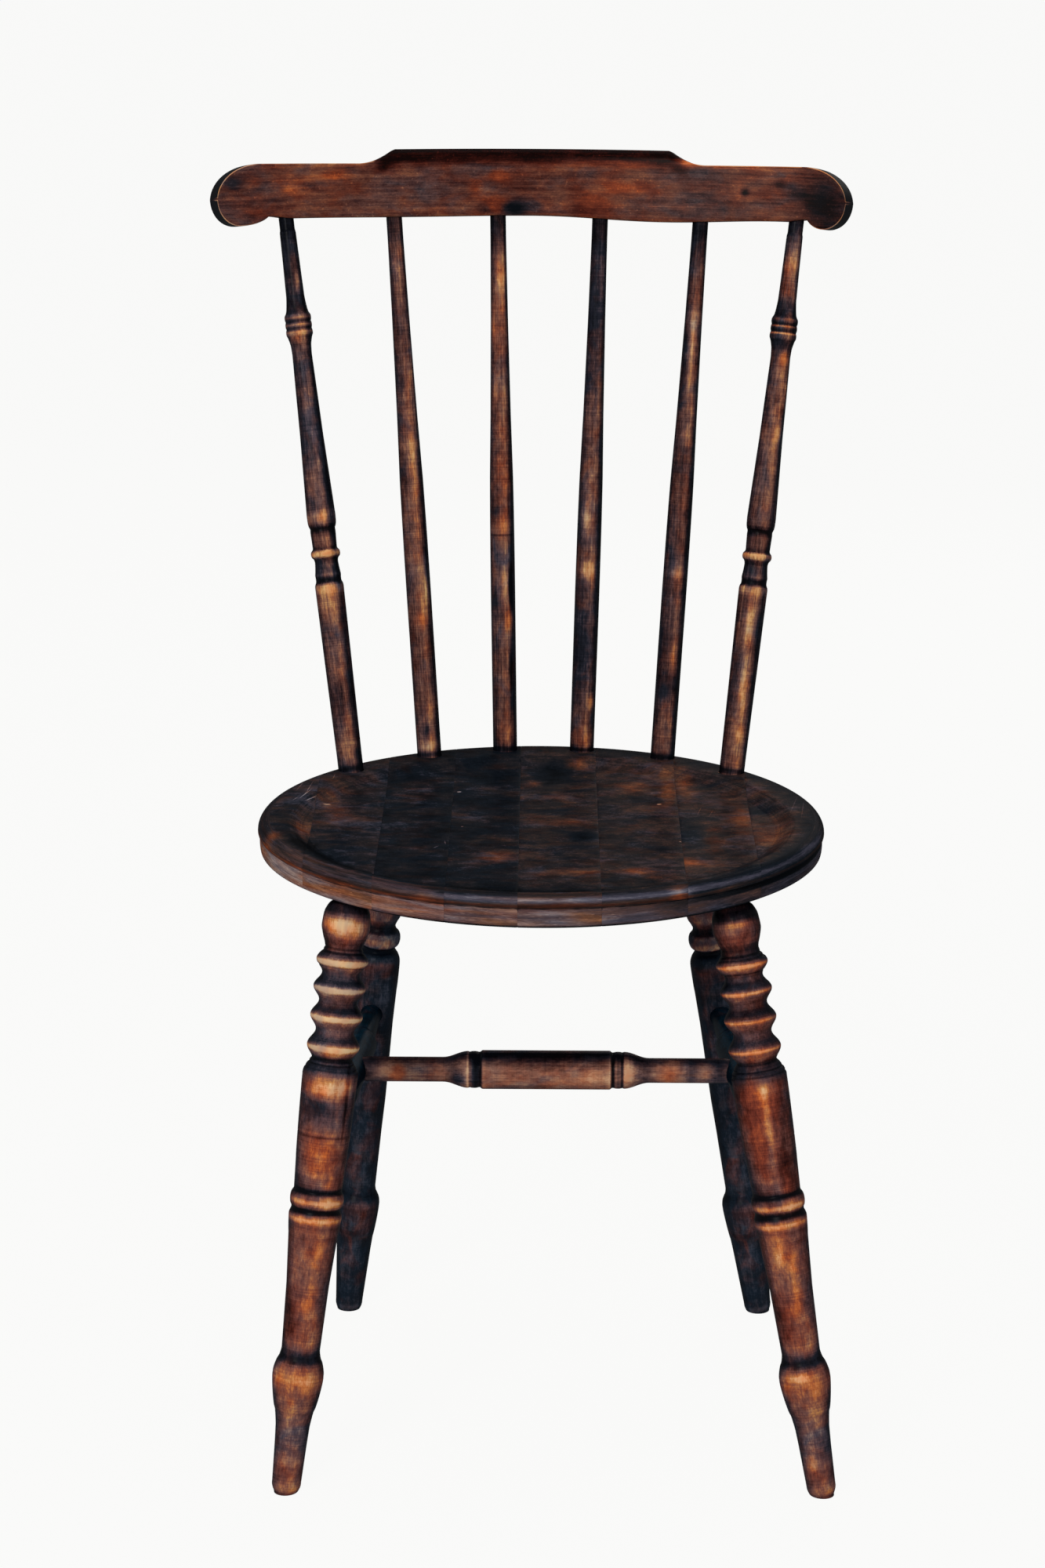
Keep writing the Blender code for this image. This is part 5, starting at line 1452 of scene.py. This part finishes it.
# Name, place, what it looks at, width and height, power in watts, colour
LIGHTS = (
    ("key", (-1.3, -3.0, 2.0), (0, 0, 0.45), (1.1, 1.1), 72, "fffcf8"),
    ("fill", (1.9, -2.4, 1.1), (0, 0, 0.4), (1.4, 1.8), 11, "f2f6ff"),
    ("top", (0.2, 0.2, 2.9), (0, 0, 0.4), (1.6, 1.6), 18, "f6f9ff"),
    ("rear", (0.9, 2.8, 1.6), (0, 0, 0.5), (1.6, 1.6), 22, "fffaf4"))
# The picture's size, the lens and the column that the lens looks at, in the photograph's pixels
PHOTO_WIDTH = 1333
PHOTO_HEIGHT = 2000
FOCAL_PIXELS = 4987
MIDDLE_COLUMN = 690.5
SENSOR_MM = 36
CAMERA_PLACE = (0, -2.63, 1.167)
CAMERA_TILT = math.radians(15.22)
CAMERA_ROLL = math.radians(0.34)


def seen_rays(tree):
    """One for the rays of the camera, of reflections and of glass, nought for the others."""
    path = add_node(tree, "ShaderNodeLightPath", {})
    seen = path.outputs["Is Camera Ray"]
    for ray in ("Is Glossy Ray", "Is Transmission Ray"):
        seen = reckoned(tree, "MAXIMUM", seen, path.outputs[ray])
    return seen


def pale_paper():
    """Matt paper sweep: near white for the camera, and it keeps a faint soft shadow."""
    material = bpy.data.materials.new("pale_paper_floor")
    material.use_nodes = True
    tree = material.node_tree
    shader = tree.nodes["Principled BSDF"]
    shader.inputs["Base Color"].default_value = linear(PAPER_SHADE)
    shader.inputs["Roughness"].default_value = PAPER_ROUGHNESS
    shader.inputs["Specular IOR Level"].default_value = PAPER_SPECULAR
    glow = add_node(tree, "ShaderNodeEmission", {"Color": linear(PAPER_WHITE), "Strength": 1.0})
    share = ranged(tree, seen_rays(tree), 0.0, 1.0, 0.0, PAPER_GLOW)
    mix = add_node(tree, "ShaderNodeMixShader", {
        0: share, 1: shader.outputs[0], 2: glow.outputs[0]})
    tree.links.new(mix.outputs[0], tree.nodes["Material Output"].inputs["Surface"])
    return material


def make_stage():
    shape = bmesh.new()
    bmesh.ops.create_circle(shape, cap_ends=True, segments=FLOOR_SIDES, radius=FLOOR_RADIUS)
    floor = plain_object("floor", mesh_of("floor", shape))
    floor.data.materials.append(pale_paper())


def make_lights():
    for name, place, target, size, power, colour in LIGHTS:
        data = bpy.data.lights.new(name, "AREA")
        data.shape = "RECTANGLE"
        data.size, data.size_y = size
        data.energy = power
        data.color = linear(colour)[:3]
        light = plain_object(name, data)
        light.location = place
        light.rotation_mode = "QUATERNION"
        light.rotation_quaternion = (Vector(target) - Vector(place)).to_track_quat("-Z", "Y")


def make_world():
    """A pale studio all round, bright where it is seen and faint where it lights the chair."""
    world = bpy.data.worlds.new("studio")
    bpy.context.scene.world = world
    world.use_nodes = True
    tree = world.node_tree
    background = tree.nodes["Background"]
    strength = ranged(tree, seen_rays(tree), 0.0, 1.0, STUDIO_GLOW, 1.0)
    background.inputs["Color"].default_value = linear(PAPER_WHITE)
    tree.links.new(strength, background.inputs["Strength"])


def make_camera():
    """The photograph's view: a long lens a little above the seat, looking slightly down."""
    data = bpy.data.cameras.new("camera")
    data.lens = FOCAL_PIXELS / PHOTO_HEIGHT * SENSOR_MM
    data.sensor_width = SENSOR_MM
    data.sensor_fit = "AUTO"
    data.shift_x = (PHOTO_WIDTH / 2 - MIDDLE_COLUMN) / PHOTO_HEIGHT
    camera = plain_object("camera", data)
    place = Matrix.Translation(CENTRE + Vector(CAMERA_PLACE))
    tilt = Matrix.Rotation(math.pi / 2 - CAMERA_TILT, 4, "X")
    camera.matrix_world = place @ tilt @ Matrix.Rotation(CAMERA_ROLL, 4, "Z")
    bpy.context.scene.camera = camera


def main():
    bpy.context.scene.view_settings.view_transform = "Standard"
    seat_pegs, rail_pegs = [], []
    make_legs(seat_pegs)
    make_stretchers()
    make_sticks(seat_pegs, rail_pegs)
    make_rail(rail_pegs)
    make_seat(seat_pegs)
    drop_pegs(seat_pegs + rail_pegs)
    make_stage()
    make_world()
    make_lights()
    make_camera()


main()
